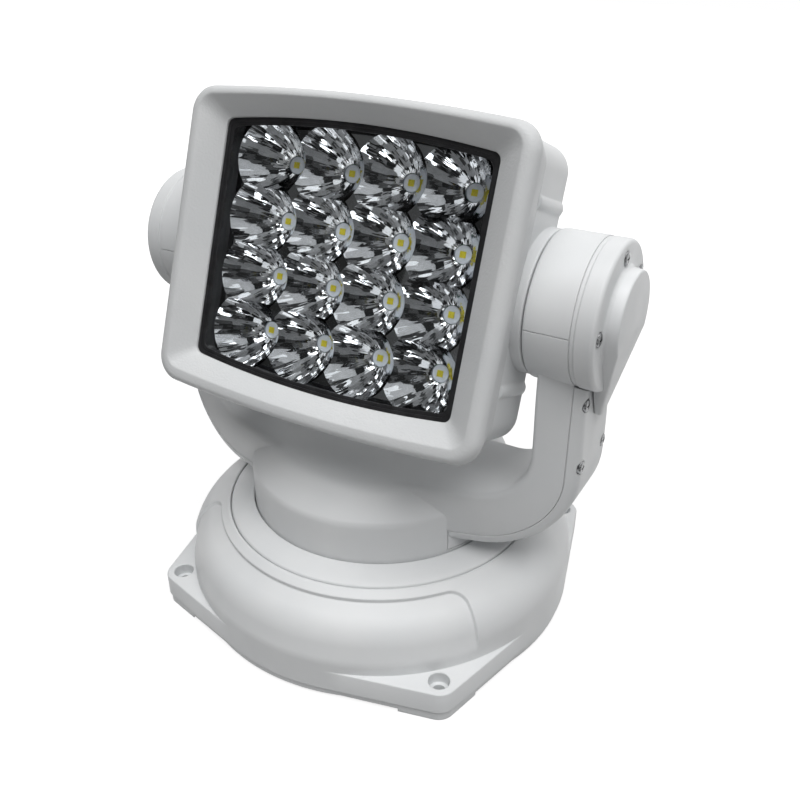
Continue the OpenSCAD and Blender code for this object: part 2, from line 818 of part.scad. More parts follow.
// Curved skirt of a cover on the hub's side, larger by grow
module cover_skirt(grow) {
    translate([0, 0, skirt_low - grow]) intersection() {
        difference() {
            cylinder(r = hub_r + grow, h = yoke_low - skirt_low + grow);
            translate([0, 0, -1]) cylinder(r = hub_r - skirt_t - grow, h = big);
        }
        translate([0, -skirt_half - grow, -1]) cube([big, skirt_half + skirt_rear + 2 * grow, big]);
    }
}

// Each cover screw's sunk place on the right arm, pointing outwards
module cover_screw_places() {
    for (s = [-1, 1], z = [screw_low, screw_high])
        translate([cover_out(z) - screw_sink, s * screw_half, z]) rotate([0, 90, 0]) children();
}

// Each cap screw's sunk place on the right cap, pointing outwards
module cap_screw_places() {
    for (a = cap_screw_angles)
        translate([cap_face - cap_sink, 0, tilt_z] + cap_screw_r * [0, cos(a), sin(a)])
            rotate([0, 90, 0]) children();
}

module drum_shell() {
    color(white) intersection() {
        drum();
        half_space(1);
    }
}

module drum_shell_right() {
    drum_shell();
}

module drum_shell_left() {
    mirror([1, 0, 0]) drum_shell();
}

// One level of a cover: how far outside the yoke, how far in from its plan, and up to which height
module cover_level(out, inset, height) {
    intersection() {
        front_prism(big / 2) yoke_outside(out, $fn = hull_fn);
        linear_extrude(height) yoke_plan(inset, cover_half);
    }
}

module arm_cover() {
    color(white) {
        difference() {
            intersection() {
                // Edges with a draft, then a chamfer up to the outer face, which thins towards the drum
                hull() {
                    cover_level(0, 0, tilt_z);
                    cover_level(cover_edge, 1, tilt_z);
                    cover_level(cover_t, cover_chamfer, cover_full);
                }
                translate([0, -big / 2, 0]) cube([big, big, tilt_z]);
            }
            front_prism(big / 2) yoke_outside(joint_gap);
            translate([0, 0, tilt_z]) rotate([0, 90, 0]) cylinder(r = drum_r + gap, h = big);
            cylinder(r = hub_r + joint_gap, h = big);
            cover_screw_places() {
                translate([0, 0, -9]) cylinder(r = shank_r + fit, h = 9 + eps);
                cylinder(r = head_r + 0.2, h = 8);
            }
        }
        difference() {
            cover_skirt(0);
            front_prism(big / 2) translate([0, yoke_low - joint_gap]) square([big, big]);
        }
        // Foot that joins the skirt to the cover's floor
        intersection() {
            translate([hub_r - skirt_t, -skirt_half, yoke_low - cover_t + 0.6])
                cube([skirt_t + 3, skirt_half + skirt_rear, cover_t - 0.9]);
            difference() {
                cylinder(r = hub_r + 3, h = big);
                cylinder(r = hub_r - skirt_t, h = big);
            }
        }
    }
}

module arm_cover_right() {
    arm_cover();
}

module arm_cover_left() {
    mirror([1, 0, 0]) arm_cover();
}

module end_cap() {
    x0 = drum_edge - cap_spigot;
    rim = drum_edge + cap_gap;
    color(white) difference() {
        union() {
            about_tilt() polygon(concat(
                [
                    [0, x0],
                    [drum_bore - fit, x0],
                    [drum_bore - fit, drum_edge + joint_gap],
                    [drum_r - cap_groove, drum_edge + joint_gap],
                    [drum_r - cap_groove, rim],
                    [drum_r, rim]
                ],
                arc([drum_r - cap_round, cap_face - cap_round], cap_round, 0, 75, 6),
                [[boss_r + 1.2, cap_face + 0.4], [boss_r - 1, cap_face + 1.4], [0, cap_face + 1.4]]
            ));
            // Boss, and the tail that it runs out into over the arm's cover
            hull() {
                tilt_tail(0, boss_r, tail_x, cap_face + 0.5);
                intersection() {
                    tilt_tail(0, boss_r - boss_draft, cap_face, boss_face);
                    translate([0, -big / 2, tilt_z - tail_start]) cube(big);
                }
                tilt_tail(tail_l - tail_r, tail_r, tail_x, tail_x + tail_t);
            }
        }
        about_tilt() polygon([
            [0, x0 - 1], [drum_bore - 2, x0 - 1], [drum_bore - 2, cap_face - 2.6],
            [boss_r - 3, cap_face - 2.2], [boss_r - 5, boss_face - 3.4], [0, boss_face - 3.4]
        ]);
        cap_screw_places() {
            translate([0, 0, -9]) cylinder(r = shank_r + fit, h = 9 + eps);
            cylinder(r = head_r + 0.2, h = 8);
        }
    }
}

// A disc of the tail, at a distance below the tilt axis
module tilt_tail(drop, r, x0, x1) {
    translate([x0, 0, tilt_z - drop]) rotate([0, 90, 0]) cylinder(r = r, h = x1 - x0, $fn = hull_fn);
}

module end_cap_right() {
    end_cap();
}

module end_cap_left() {
    mirror([1, 0, 0]) end_cap();
}

module cover_screws() {
    color(steel) both_sides() {
        cover_screw_places() screw(7);
        cap_screw_places() screw(5);
    }
}

module pan_spindle() {
    color(steel) difference() {
        translate([0, 0, spindle_low]) cylinder(r = spindle_r, h = spindle_top - spindle_low);
        translate([0, 0, spindle_low - 1]) cylinder(r = spindle_r - spindle_wall, h = big);
        translate([0, 0, pan_gear_z - 1.4]) clip_groove(1.2 + fit);
    }
}

// Ring groove at the spindle's lower end
module clip_groove(h) {
    difference() {
        cylinder(r = spindle_r + 1, h = h);
        translate([0, 0, -1]) cylinder(r = spindle_r - 1.2, h = h + 2);
    }
}

module spindle_clip() {
    color(steel) translate([0, 0, pan_gear_z - 1.4]) difference() {
        cylinder(r = spindle_r + 3, h = 1.2);
        translate([0, 0, -1]) cylinder(r = spindle_r - 1.2 + fit, h = 4);
        translate([0, -3, -1]) cube([spindle_r + 5, 6, 4]);
    }
}

module pan_gear() {
    color(alloy) difference() {
        union() {
            translate([0, 0, pan_gear_z]) rotate(90)
                linear_extrude(pan_gear_h) polygon(gear_points(pan_module, pan_teeth));
            translate([0, 0, pan_gear_z]) cylinder(r = spindle_r + 5, h = gear_top - pan_gear_z);
        }
        translate([0, 0, pan_gear_z - 1]) cylinder(r = spindle_r + fit, h = big);
        // Lightening holes
        for (k = [0:5]) rotate(60 * k)
            translate([(spindle_r + 5 + pan_module * pan_teeth / 2) / 2, 0, 0]) cylinder(r = 5, h = big);
    }
}

module tilt_bush() {
    color(brass) {
        tilt_ring(bush_out, trunnion_r + fit, drum_face + gap, drum_face + end_wall);
        tilt_ring(bush_out + 2, trunnion_r + fit, drum_face + end_wall, drum_face + end_wall + 1.2);
    }
}

module tilt_bush_right() {
    tilt_bush();
}

module tilt_bush_left() {
    mirror([1, 0, 0]) tilt_bush();
}

// Frame of the left drum's drive: its own +X points from the tilt axis to the pinion, its +Z outwards
module tilt_drive_frame() {
    translate([0, 0, tilt_z]) rotate([tilt_drive_turn, 0, 0]) rotate([0, -90, 0]) children();
}

// Tilt pinion and motor lie below and behind the left trunnion
module at_tilt_pinion() {
    tilt_drive_frame() translate([tilt_centre, 0, 0]) children();
}

module motor_bracket() {
    color(steel) difference() {
        mirror([1, 0, 0]) tilt_ring(drum_bore - fit, 0, bracket_x, bracket_x + bracket_t);
        at_tilt_pinion() cylinder(r = tilt_shaft_r + 0.6, h = big);
        // Notch for the wires
        translate([-big / 2, -6, tilt_z - drum_r]) cube([big / 2, 12, 14]);
    }
}

module tilt_motor() {
    x0 = bracket_x + bracket_t;
    color(alloy) at_tilt_pinion() difference() {
        translate([0, 0, x0]) cylinder(r = tilt_motor_r, h = motor_end - x0);
        translate([0, 0, x0 - 1]) cylinder(r = tilt_shaft_r + fit, h = 6);
    }
}

module tilt_pinion() {
    color(brass) at_tilt_pinion() {
        translate([0, 0, tilt_gear_x]) rotate(180 + 180 / tilt_pinion_teeth)
            linear_extrude(tilt_gear_w) polygon(gear_points(tilt_module, tilt_pinion_teeth));
        translate([0, 0, tilt_gear_x - 0.6])
            cylinder(r = tilt_shaft_r, h = bracket_x + bracket_t + 4 - tilt_gear_x);
    }
}

// Rings of the bezel's section, each as half width, half height, bow, rounding and distance d
bezel_rings = concat(
    [[half_w - skirt_in, half_h - skirt_in, head_bow, head_round - 1, seam_d + 0.25]],
    [for (a = [0:22.5:90])
        let (inset = rim_round * (1 - cos(a)))
        [half_w - inset, half_h - inset * 0.55, head_bow, head_round - inset / 2,
         front_d - rim_round + rim_round * sin(a)]],
    [[half_w - rim_w, win_half_h + slope_w, head_bow + 0.2, head_round - 4, front_d],
     [win_half_w, win_half_h, window_bow, window_round, win_d],
     [win_half_w, win_half_h, window_bow, window_round, win_d - land_t],
     [win_half_w + pocket_grow, win_half_h + pocket_grow, window_bow, window_round + 1.5, win_d - land_t],
     [win_half_w + pocket_grow, win_half_h + pocket_grow, window_bow, window_round + 1.5, lens_back + gap],
     [spigot_w + gap, spigot_h + gap, head_bow, spigot_round, lens_back + gap],
     [spigot_w + gap, spigot_h + gap, head_bow, spigot_round, seam_d + 0.25]]
);

module bezel() {
    rings = [for (q = bezel_rings) barrel_points(q[0], q[1], q[2], q[3])];
    count = len(rings);
    sides = len(rings[0]);
    color(white) head_frame() polyhedron(
        points = [for (i = [0:count - 1], p = rings[i]) [p[0], -bezel_rings[i][4], p[1]]],
        faces = [for (i = [0:count - 1], j = [0:sides - 1], k = [0, 1])
            let (
                a = i * sides + j,
                b = i * sides + (j + 1) % sides,
                c = ((i + 1) % count) * sides + (j + 1) % sides,
                d = ((i + 1) % count) * sides + j
            )
            k == 0 ? [a, b, c] : [a, c, d]]
    );
}

module lens() {
    color([0.85, 0.9, 0.92, 0.35]) head_frame() head_slab(lens_back, lens_front)
        barrel(
            win_half_w + pocket_grow - gap,
            win_half_h + pocket_grow - gap,
            window_bow,
            window_round + 1.2
        );
}

module lens_gasket() {
    color(black) head_frame() head_slab(lens_front, win_d - land_t) difference() {
        barrel(
            win_half_w + pocket_grow - gap,
            win_half_h + pocket_grow - gap,
            window_bow,
            window_round + 1.2
        );
        barrel(win_half_w - gasket_show, win_half_h - gasket_show, window_bow, window_round);
    }
}

// Cup section in (radius, height above the board): a parabola from the hole, then one straight flare
// that starts short of the neighbours and runs out past the mouth
function cup_height(r) =
    cup_depth * (r * r - cup_hole_r * cup_hole_r) / (cup_r * cup_r - cup_hole_r * cup_hole_r);
flare_r = min(pitch_u, pitch_v) / 2 - 0.3;
flare_slope = (cup_depth - cup_height(flare_r)) / (cup_r - flare_r);
cup_section = concat(
    [[0, -5], [cup_hole_r, -5]],
    [for (i = [0:4]) let (r = cup_hole_r + (flare_r - cup_hole_r) * i / 4) [r, cup_height(r)]],
    [[cup_r + 1, cup_depth + flare_slope], [0, cup_depth + flare_slope]]
);

module reflector() {
    color(chrome) head_frame() difference() {
        head_slab(board_front + 0.1, mouth_d) barrel(reflector_w, reflector_h, window_bow, window_round);
        at_cups() translate([0, -cup_low, 0]) rotate([90, 0, 0]) rotate_extrude() polygon(cup_section);
    }
}

module led_board() {
    color(green) head_frame() head_slab(board_back, board_front)
        barrel(reflector_w - 0.6, reflector_h - 0.6, window_bow, window_round);
}

module led_packages() {
    color([0.75, 0.77, 0.8]) head_frame() at_cups()
        translate([0, -board_front, 0]) rotate([90, 0, 0]) cylinder(r = cup_hole_r - 0.15, h = 1.2);
}

module led_dies() {
    color([0.9, 0.8, 0.1]) head_frame() at_cups()
        translate([-die_w / 2, -board_front - 1.6, -die_w / 2]) cube([die_w, 0.4, die_w]);
}

module head_housing() {
    color(white) head_frame() difference() {
        union() {
            difference() {
                head_slab(-rear_d, seam_d) barrel(house_w, house_h, head_bow, house_round);
                head_slab(-rear_d + head_wall, seam_d + 1)
                    barrel(house_w - head_wall, house_h - head_wall, head_bow, house_round - head_wall);
            }
            // Spigot that enters the bezel and holds the lens from behind
            head_slab(seam_d - head_wall, lens_back - 0.05) difference() {
                barrel(spigot_w, spigot_h, head_bow, spigot_round);
                barrel(reflector_w + gap, reflector_h + gap, window_bow, window_round);
            }
            // Flange that carries the spigot
            head_slab(seam_d - head_wall, seam_d) difference() {
                barrel(house_w, house_h, head_bow, house_round);
                barrel(reflector_w + gap, reflector_h + gap, window_bow, window_round);
            }
            // Screw ribs along the outside
            translate([0, -seam_d + 1, 0]) at_ribs() {
                cylinder(r = rib_r, h = seam_d + rear_d - 1.8);
                translate([0, 0, seam_d + rear_d - 1.8 - eps])
                    cylinder(r1 = rib_r, r2 = rib_r - 0.8, h = 0.8);
            }
            // Cheeks that carry the trunnions
            for (s = [-1, 1]) translate([s * (cheek_x - cheek_t / 2), 0, 0]) rotate([0, 90, 0])
                cylinder(r = cheek_r, h = cheek_t, center = true);
        }
        head_slab(-big, -rear_d + head_wall + 1)
            barrel(sink_w + gap, sink_h + gap, window_bow, window_round);
        translate([0, rear_d, 0]) at_ribs() translate([0, 0, -12]) cylinder(r = shank_r + fit, h = 14);
        // Wire holes in the cheeks
        rotate([0, 90, 0]) cylinder(r = trunnion_r - trunnion_wall, h = big, center = true);
    }
}

module heat_sink() {
    pitch = (2 * sink_w - fin_t) / (fins - 1);
    color(alloy) head_frame() {
        // Block that meets the light board
        head_slab(-rear_d - eps, board_back) barrel(sink_w, sink_h, window_bow, window_round);
        head_slab(-rear_d - sink_t, -rear_d)
            barrel(sink_w, rib_edge() - rib_sink - head_r - gap, window_bow, house_round - head_wall);
        intersection() {
            for (i = [0:fins - 1])
                translate([-sink_w + i * pitch, rear_d + sink_t - eps, -half_h])
                    cube([fin_t, fin_l, 2 * half_h]);
            // Fins end on a rounded outline, lower at the top and bottom
            rotate([90, 0, 90]) translate([0, 0, -big / 2]) linear_extrude(big) intersection() {
                translate([rear_d + sink_t - 1, -sink_h + 1]) square([fin_l + 2, 2 * (sink_h - 1)]);
                translate([rear_d + sink_t + fin_l - 120, 0]) circle(r = 120);
            }
        }
    }
}

module trunnion() {
    color(steel) head_frame() rotate([0, 90, 0]) difference() {
        union() {
            translate([0, 0, cheek_x]) cylinder(r = flange_r, h = flange_t);
            translate([0, 0, cheek_x]) cylinder(r = trunnion_r, h = trunnion_end - cheek_x);
        }
        translate([0, 0, cheek_x - 1]) cylinder(r = trunnion_r - trunnion_wall, h = big);
    }
}

module trunnion_right() {
    trunnion();
}

module trunnion_left() {
    mirror([1, 0, 0]) trunnion();
}

module tilt_gear() {
    color(alloy) tilt_drive_frame() translate([0, 0, tilt_gear_x]) difference() {
        linear_extrude(tilt_gear_w) polygon(gear_points(tilt_module, tilt_teeth));
        translate([0, 0, -1]) cylinder(r = trunnion_r + fit, h = tilt_gear_w + 2);
    }
}

module retaining_collar() {
    color(steel) tilt_ring(trunnion_r + 3.5, trunnion_r + fit, tilt_gear_x, tilt_gear_x + 4);
}

module trunnion_seals() {
    color(black) both_sides()
        tilt_ring(trunnion_r + 3, trunnion_r + fit, cheek_x + flange_t, drum_face - gap);
}

module head_screws() {
    color(steel) head_frame() translate([0, rear_d, 0]) at_ribs() screw(9);
}

base_housing();
base_plate();
base_seal();
base_screws();
retaining_ring();
pan_bush();
pan_motor();
pan_pinion();
control_board();
cable_grommet();
yoke_body();
drum_shell_left();
drum_shell_right();
arm_cover_left();
arm_cover_right();
end_cap_left();
end_cap_right();
cover_screws();
pan_spindle();
pan_gear();
spindle_clip();
tilt_bush_left();
tilt_bush_right();
motor_bracket();
tilt_motor();
tilt_pinion();
bezel();
lens();
lens_gasket();
reflector();
led_board();
led_packages();
led_dies();
head_housing();
heat_sink();
trunnion_left();
trunnion_right();
tilt_gear();
retaining_collar();
trunnion_seals();
head_screws();
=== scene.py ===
"""Looks of a motorised marine searchlight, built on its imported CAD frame."""
import json
import math

import bmesh
import bpy
from mathutils import Matrix, Vector
from mathutils.geometry import delaunay_2d_cdt


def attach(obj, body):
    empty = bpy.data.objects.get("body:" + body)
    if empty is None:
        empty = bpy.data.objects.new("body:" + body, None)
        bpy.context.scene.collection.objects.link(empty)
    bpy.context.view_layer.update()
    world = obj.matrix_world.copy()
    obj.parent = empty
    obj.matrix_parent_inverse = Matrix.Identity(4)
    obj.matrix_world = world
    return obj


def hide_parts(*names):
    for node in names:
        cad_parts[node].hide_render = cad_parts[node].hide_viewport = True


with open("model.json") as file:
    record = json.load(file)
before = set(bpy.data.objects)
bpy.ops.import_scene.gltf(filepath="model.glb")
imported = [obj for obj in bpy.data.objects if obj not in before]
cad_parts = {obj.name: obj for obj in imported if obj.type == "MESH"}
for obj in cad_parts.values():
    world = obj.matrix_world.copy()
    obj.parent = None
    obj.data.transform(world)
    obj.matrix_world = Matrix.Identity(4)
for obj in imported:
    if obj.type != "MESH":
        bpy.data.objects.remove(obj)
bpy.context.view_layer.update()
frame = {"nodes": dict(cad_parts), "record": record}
MM = 0.001

# Sizes in mm: the part's source has the main ones, fine edges and the frame's flare are the scene's own
BASE_R = 88.4
HOUSING_Z = 4.0
LUG_TOP = 14.5
LUG_ROUND = 8.0
LUG_EDGE = 0.6
FOOT_INSET = 0.8
FOOT_RISE = 0.6
DECK_HALF = 66.4
DECK_HOLE_R = 2.65
DECK_CBORE_R = 4.3
DECK_CBORE_DEPTH = 5.0
DECK_CHAMFER = 0.25
LUG_DIST = DECK_HALF * math.sqrt(2) - 0.5
LUG_ANGLE = math.acos((BASE_R - LUG_ROUND) / LUG_DIST)
BASE_WALL = 3.2
DOME_TOP = 43.9
DOME_SLOPE = math.radians(32)
DOME_ROUND = 18.0
SEAT_Z = DOME_TOP - 2.9
HUB_R = 58.1
RING_GAP = 0.45
RING_IN = HUB_R + RING_GAP
RING_OUT = RING_IN + 10.7
GROOVE_R = RING_OUT + RING_GAP
GROOVE_SOFT = 1.3
RING_RISE = 3.0
RING_EDGE = 1.3
RING_CREST = 0.7
ROUND_R0 = BASE_R - DOME_ROUND
SLOPE_R = ROUND_R0 + DOME_ROUND * math.sin(DOME_SLOPE)
SLOPE_Z = DOME_TOP - (SLOPE_R - GROOVE_R) * math.tan(DOME_SLOPE)
ROUND_Z0 = SLOPE_Z - DOME_ROUND * math.cos(DOME_SLOPE)
BUSH_BORE = 15.2
PANEL_HALF = math.radians(57)
PANEL_DEPTH = 1.4
PANEL_EDGE_R = GROOVE_R + 4.7
PANEL_LOW = 19.5
PANEL_ROUND = 7.0
PANEL_SOFT = 0.9
PANEL_BLEND = 1.8

HUB_LOW = SEAT_Z + 1.6
HUB_SHOULDER = 63.0
HUB_ROUND = 5.0
HUB_TOP = HUB_SHOULDER + 14.0
HUB_LEAN = 41.0
HUB_TOP_R = 47.55
HUB_CROWN = 8.0
TILT_Z = 152.7
YOKE_HALF = 92.3
ARM_IN = YOKE_HALF - 13.1
ARM_HALF_D = 17.0
ARM_TAPER = 0.309
BEND_OUT = 31.0
BEND_IN = 20.0
YOKE_LOW = 57.7
BEND_X = YOKE_HALF - BEND_OUT
BEND_Z = YOKE_LOW + BEND_OUT
COVER_T = 5.0
COVER_EDGE = 3.4
COVER_FULL = 98.0
SCREW_HEIGHTS = (94.0, 121.0)
SCREW_HALF = 12.0
SCREW_SINK = 1.2
SKIRT_HALF = 29.5
SKIRT_REAR = 16.5
SKIRT_LOW = 47.5
SKIRT_T = 2.6
JOINT_GAP = 0.15
INNER_SOFT = 3.0

DRUM_R = 28.06
DRUM_BORE = DRUM_R - 2.6
DRUM_ROUND = 1.2
DRUM_EDGE = 0.15
DRUM_IN = 74.9
DRUM_OUT = YOKE_HALF
END_WALL = 3.0
BUSH_OUT = 12.05
CAP_IN = DRUM_OUT + 1.6
CAP_FACE = CAP_IN + 7.1
CAP_GROOVE = 0.35
CAP_JOINT = 0.08
CAP_ROUND = 1.8
CAP_SINK = 0.9
CAP_SPIGOT = 2.5
BOSS_R = 18.6
BOSS_DRAFT = 0.6
BOSS_FILLET = 1.4
BOSS_ROUND = 0.7
BOSS_FACE = CAP_FACE + 5.4
TAIL_START = 8.0
TAIL_L = 40.5
TAIL_R = 4.3
TAIL_T = 2.4
CAP_SCREW_R = 22.3
CAP_SCREW_ANGLES = (180, 92, 29)
SCREW_HEAD_R = 2.6

REST_TILT = math.radians(20.73)
HEAD_HALF_W = 71.7
HEAD_HALF_H = 60.9
HEAD_BOW = 3.4
HEAD_ROUND = 12.0
FRONT_D = 41.5
WIN_HALF_W = 58.8
WIN_HALF_H = 51.0
WIN_BOW = 4.0
WIN_ROUND = 3.2
FRAME_HALF_W = 73.8
FRAME_TOP = 60.82
FRAME_LOW = 63.1
FRAME_ROUND = 10.5
RIM_W = 5.6
RIM_ROUND = 4.5
RIM_HALF_H = 57.6
WIN_D = FRONT_D - 6.5
LAND_D = WIN_D - 1.0
LENS_FRONT = LAND_D - 0.8
LENS_BACK = LENS_FRONT - 2.4
SEAM_D = 22.0
REAR_D = 4.0
SKIRT_IN = 1.5
HOUSE_W = HEAD_HALF_W - SKIRT_IN - 0.2
HOUSE_H = HEAD_HALF_H - SKIRT_IN - 0.2
HOUSE_ROUND = HEAD_ROUND - 1.0
HEAD_WALL = 3.0
SPIGOT_W = HEAD_HALF_W - 5.0
SPIGOT_H = HEAD_HALF_H - 4.6
SPIGOT_ROUND = 8.0
POCKET = 3.8
GASKET_SHOW = 2.7
GASKET_STEP = 1.3
SLEEVE_SHOW = 1.4
CHEEK_R = 27.4
CHEEK_ROUND = 0.7
CHEEK_FACE = DRUM_IN - 0.6
RIB_R = 3.4
RIB_H = 1.2
RIB_SIDE = 34.0
RIB_TOP = 47.0
SINK_W = WIN_HALF_W - 0.7
SINK_H = WIN_HALF_H - 0.7

CUPS = 4
PITCH_U = 27.0
PITCH_V = 23.0
CUP_R = 15.6
CUP_HOLE_R = 3.75
LED_R = 3.5
LED_TOP = -0.2
LED_FOOT = -1.4
LED_EDGE = 0.15
CUP_LIP = 1.2
CUP_LOW = LENS_BACK - 21.4
MOUTH_D = LENS_BACK - 3.0
CUP_DEPTH = MOUTH_D - CUP_LOW
TRAY_W = WIN_HALF_W + 0.4
TRAY_H = WIN_HALF_H + 0.2

# The photograph's camera, in metres and degrees
VIEW_TARGET = (0.00749, 0.00435, 0.0908)
VIEW_DISTANCE = 0.39075
VIEW_AZIMUTH = 30.14
VIEW_ELEVATION = 28.93
VIEW_LENS = 39.75

TURN_STEPS = 192
FLOOR_HALF = 3.0
FLOOR_GLOW = 0.8
CARD_STEP = 11.0
CARD_DISTANCE = 1.6
CARD_HEIGHT = 0.15
CARD_COLUMNS = range(-9, 10)
CARD_ROWS = range(-3, 7)
BLACK, GREY, DIM, OPEN = range(4)
CARD_TONES = (BLACK, GREY, GREY, DIM, OPEN, BLACK, GREY, GREY, DIM, OPEN, GREY, GREY, BLACK)


# Points and outlines

def arc(centre, radius, a0, a1, steps):
    """Points of an arc between two angles in degrees."""
    points = []
    for i in range(steps + 1):
        a = math.radians(a0 + (a1 - a0) * i / steps)
        points.append((centre[0] + radius * math.cos(a), centre[1] + radius * math.sin(a)))
    return points


def resampled(points, count):
    """A closed outline with its points spread evenly along it, from its first point on."""
    ring = [Vector(p) for p in points]
    ring.append(ring[0])
    lengths = [0.0]
    for a, b in zip(ring, ring[1:]):
        lengths.append(lengths[-1] + (b - a).length)
    result = []
    k = 0
    for i in range(count):
        target = lengths[-1] * i / count
        while lengths[k + 1] < target:
            k += 1
        span = lengths[k + 1] - lengths[k]
        result.append(tuple(ring[k].lerp(ring[k + 1], (target - lengths[k]) / span)))
    return result


def barrel(a, b, bow, corner, count=480):
    """Outline of a rectangle with bowed upper and lower edges and round corners."""
    bow_r = (a * a + bow * bow) / (2 * bow)
    bow_c = b - bow_r
    cu = a - corner
    cv = bow_c + math.sqrt((bow_r - corner) ** 2 - cu * cu)
    turn = math.degrees(math.atan2(cv - bow_c, cu))
    points = [(a, 0.0)]
    points += arc((cu, cv), corner, 0, turn, 16)
    points += arc((0, bow_c), bow_r, turn, 180 - turn, 40)[1:-1]
    points += arc((-cu, cv), corner, 180 - turn, 180, 16)
    points += arc((-cu, -cv), corner, 180, 180 + turn, 16)
    points += arc((0, -bow_c), bow_r, 180 + turn, 360 - turn, 40)[1:-1]
    points += arc((cu, -cv), corner, 360 - turn, 360, 16)
    return resampled(points, count)


def smooth_step(low, high, value):
    t = min(1.0, max(0.0, (value - low) / (high - low)))
    return t * t * (3 - 2 * t)


# Meshes: each is a pair of vertices in mm and faces

def joined(*shapes):
    verts = []
    faces = []
    for shape_verts, shape_faces in shapes:
        start = len(verts)
        verts += shape_verts
        faces += [tuple(start + i for i in face) for face in shape_faces]
    return verts, faces


def loft(rings, loop=False):
    """Skin over closed rings with the same number of points."""
    sides = len(rings[0])
    verts = [p for ring in rings for p in ring]
    spans = len(rings) if loop else len(rings) - 1
    faces = []
    for i in range(spans):
        a = i * sides
        b = (i + 1) % len(rings) * sides
        for j in range(sides):
            k = (j + 1) % sides
            faces.append((a + j, a + k, b + k, b + j))
    if not loop:
        faces.append(tuple(range(sides))[::-1])
        faces.append(tuple(range(len(verts) - sides, len(verts))))
    return verts, faces


def turned(profile, start=0.0, sweep=360.0, steps=TURN_STEPS):
    """A closed profile in (radius, height) turned about Z, with flat ends where it isn't a full turn."""
    full = sweep >= 360
    rings = []
    for i in range(steps if full else steps + 1):
        a = math.radians(start + sweep * i / steps)
        rings.append([(r * math.cos(a), r * math.sin(a), h) for r, h in profile])
    return loft(rings, loop=full)


def placed(shape, place):
    return [place(p) for p in shape[0]], shape[1]


def on_tilt(p):
    """From a part turned about Z to the tilt axis, where height becomes X."""
    return p[2], p[0], TILT_Z + p[1]


def in_head(p):
    """From the head's own (across, forward, up) to the frame, at its stored tilt."""
    u, d, v = p
    cos_t = math.cos(REST_TILT)
    sin_t = math.sin(REST_TILT)
    return u, v * sin_t - d * cos_t, TILT_Z + d * sin_t + v * cos_t


def mirrored(p):
    return -p[0], p[1], p[2]


def rod(radius, low, high, steps=64):
    """A plain cylinder about Z, for cutting."""
    return turned([(0, low), (radius, low), (radius, high), (0, high)], steps=steps)


def new_object(name, shape):
    mesh = bpy.data.meshes.new(name)
    mesh.from_pydata([tuple(MM * c for c in p) for p in shape[0]], [], shape[1])
    bm = bmesh.new()
    bm.from_mesh(mesh)
    bmesh.ops.remove_doubles(bm, verts=bm.verts, dist=0.002 * MM)
    bmesh.ops.dissolve_degenerate(bm, edges=bm.edges, dist=0.001 * MM)
    bmesh.ops.recalc_face_normals(bm, faces=bm.faces)
    bm.to_mesh(mesh)
    bm.free()
    obj = bpy.data.objects.new(name, mesh)
    bpy.context.scene.collection.objects.link(obj)
    return obj


def combined(obj, other, operation):
    """Adds a shape to an object or cuts it from it."""
    tool = new_object("tool", other)
    change = obj.modifiers.new("change", "BOOLEAN")
    change.operation = operation
    change.solver = "EXACT"
    change.object = tool
    seen = obj.evaluated_get(bpy.context.evaluated_depsgraph_get())
    mesh = bpy.data.meshes.new_from_object(seen)
    old = obj.data
    obj.modifiers.clear()
    obj.data = mesh
    mesh.name = obj.name
    bpy.data.meshes.remove(old)
    tool_mesh = tool.data
    bpy.data.objects.remove(tool)
    bpy.data.meshes.remove(tool_mesh)


def finished(obj, body, nodes, material, sharp=32):
    """Shades a piece, gives it its material and puts it on its body in place of its CAD nodes."""
    obj.data.shade_smooth()
    obj.data.set_sharp_from_angle(angle=math.radians(sharp))
    obj.data.materials.clear()
    obj.data.materials.append(material)
    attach(obj, body)
    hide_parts(*nodes)
    return obj


# Materials

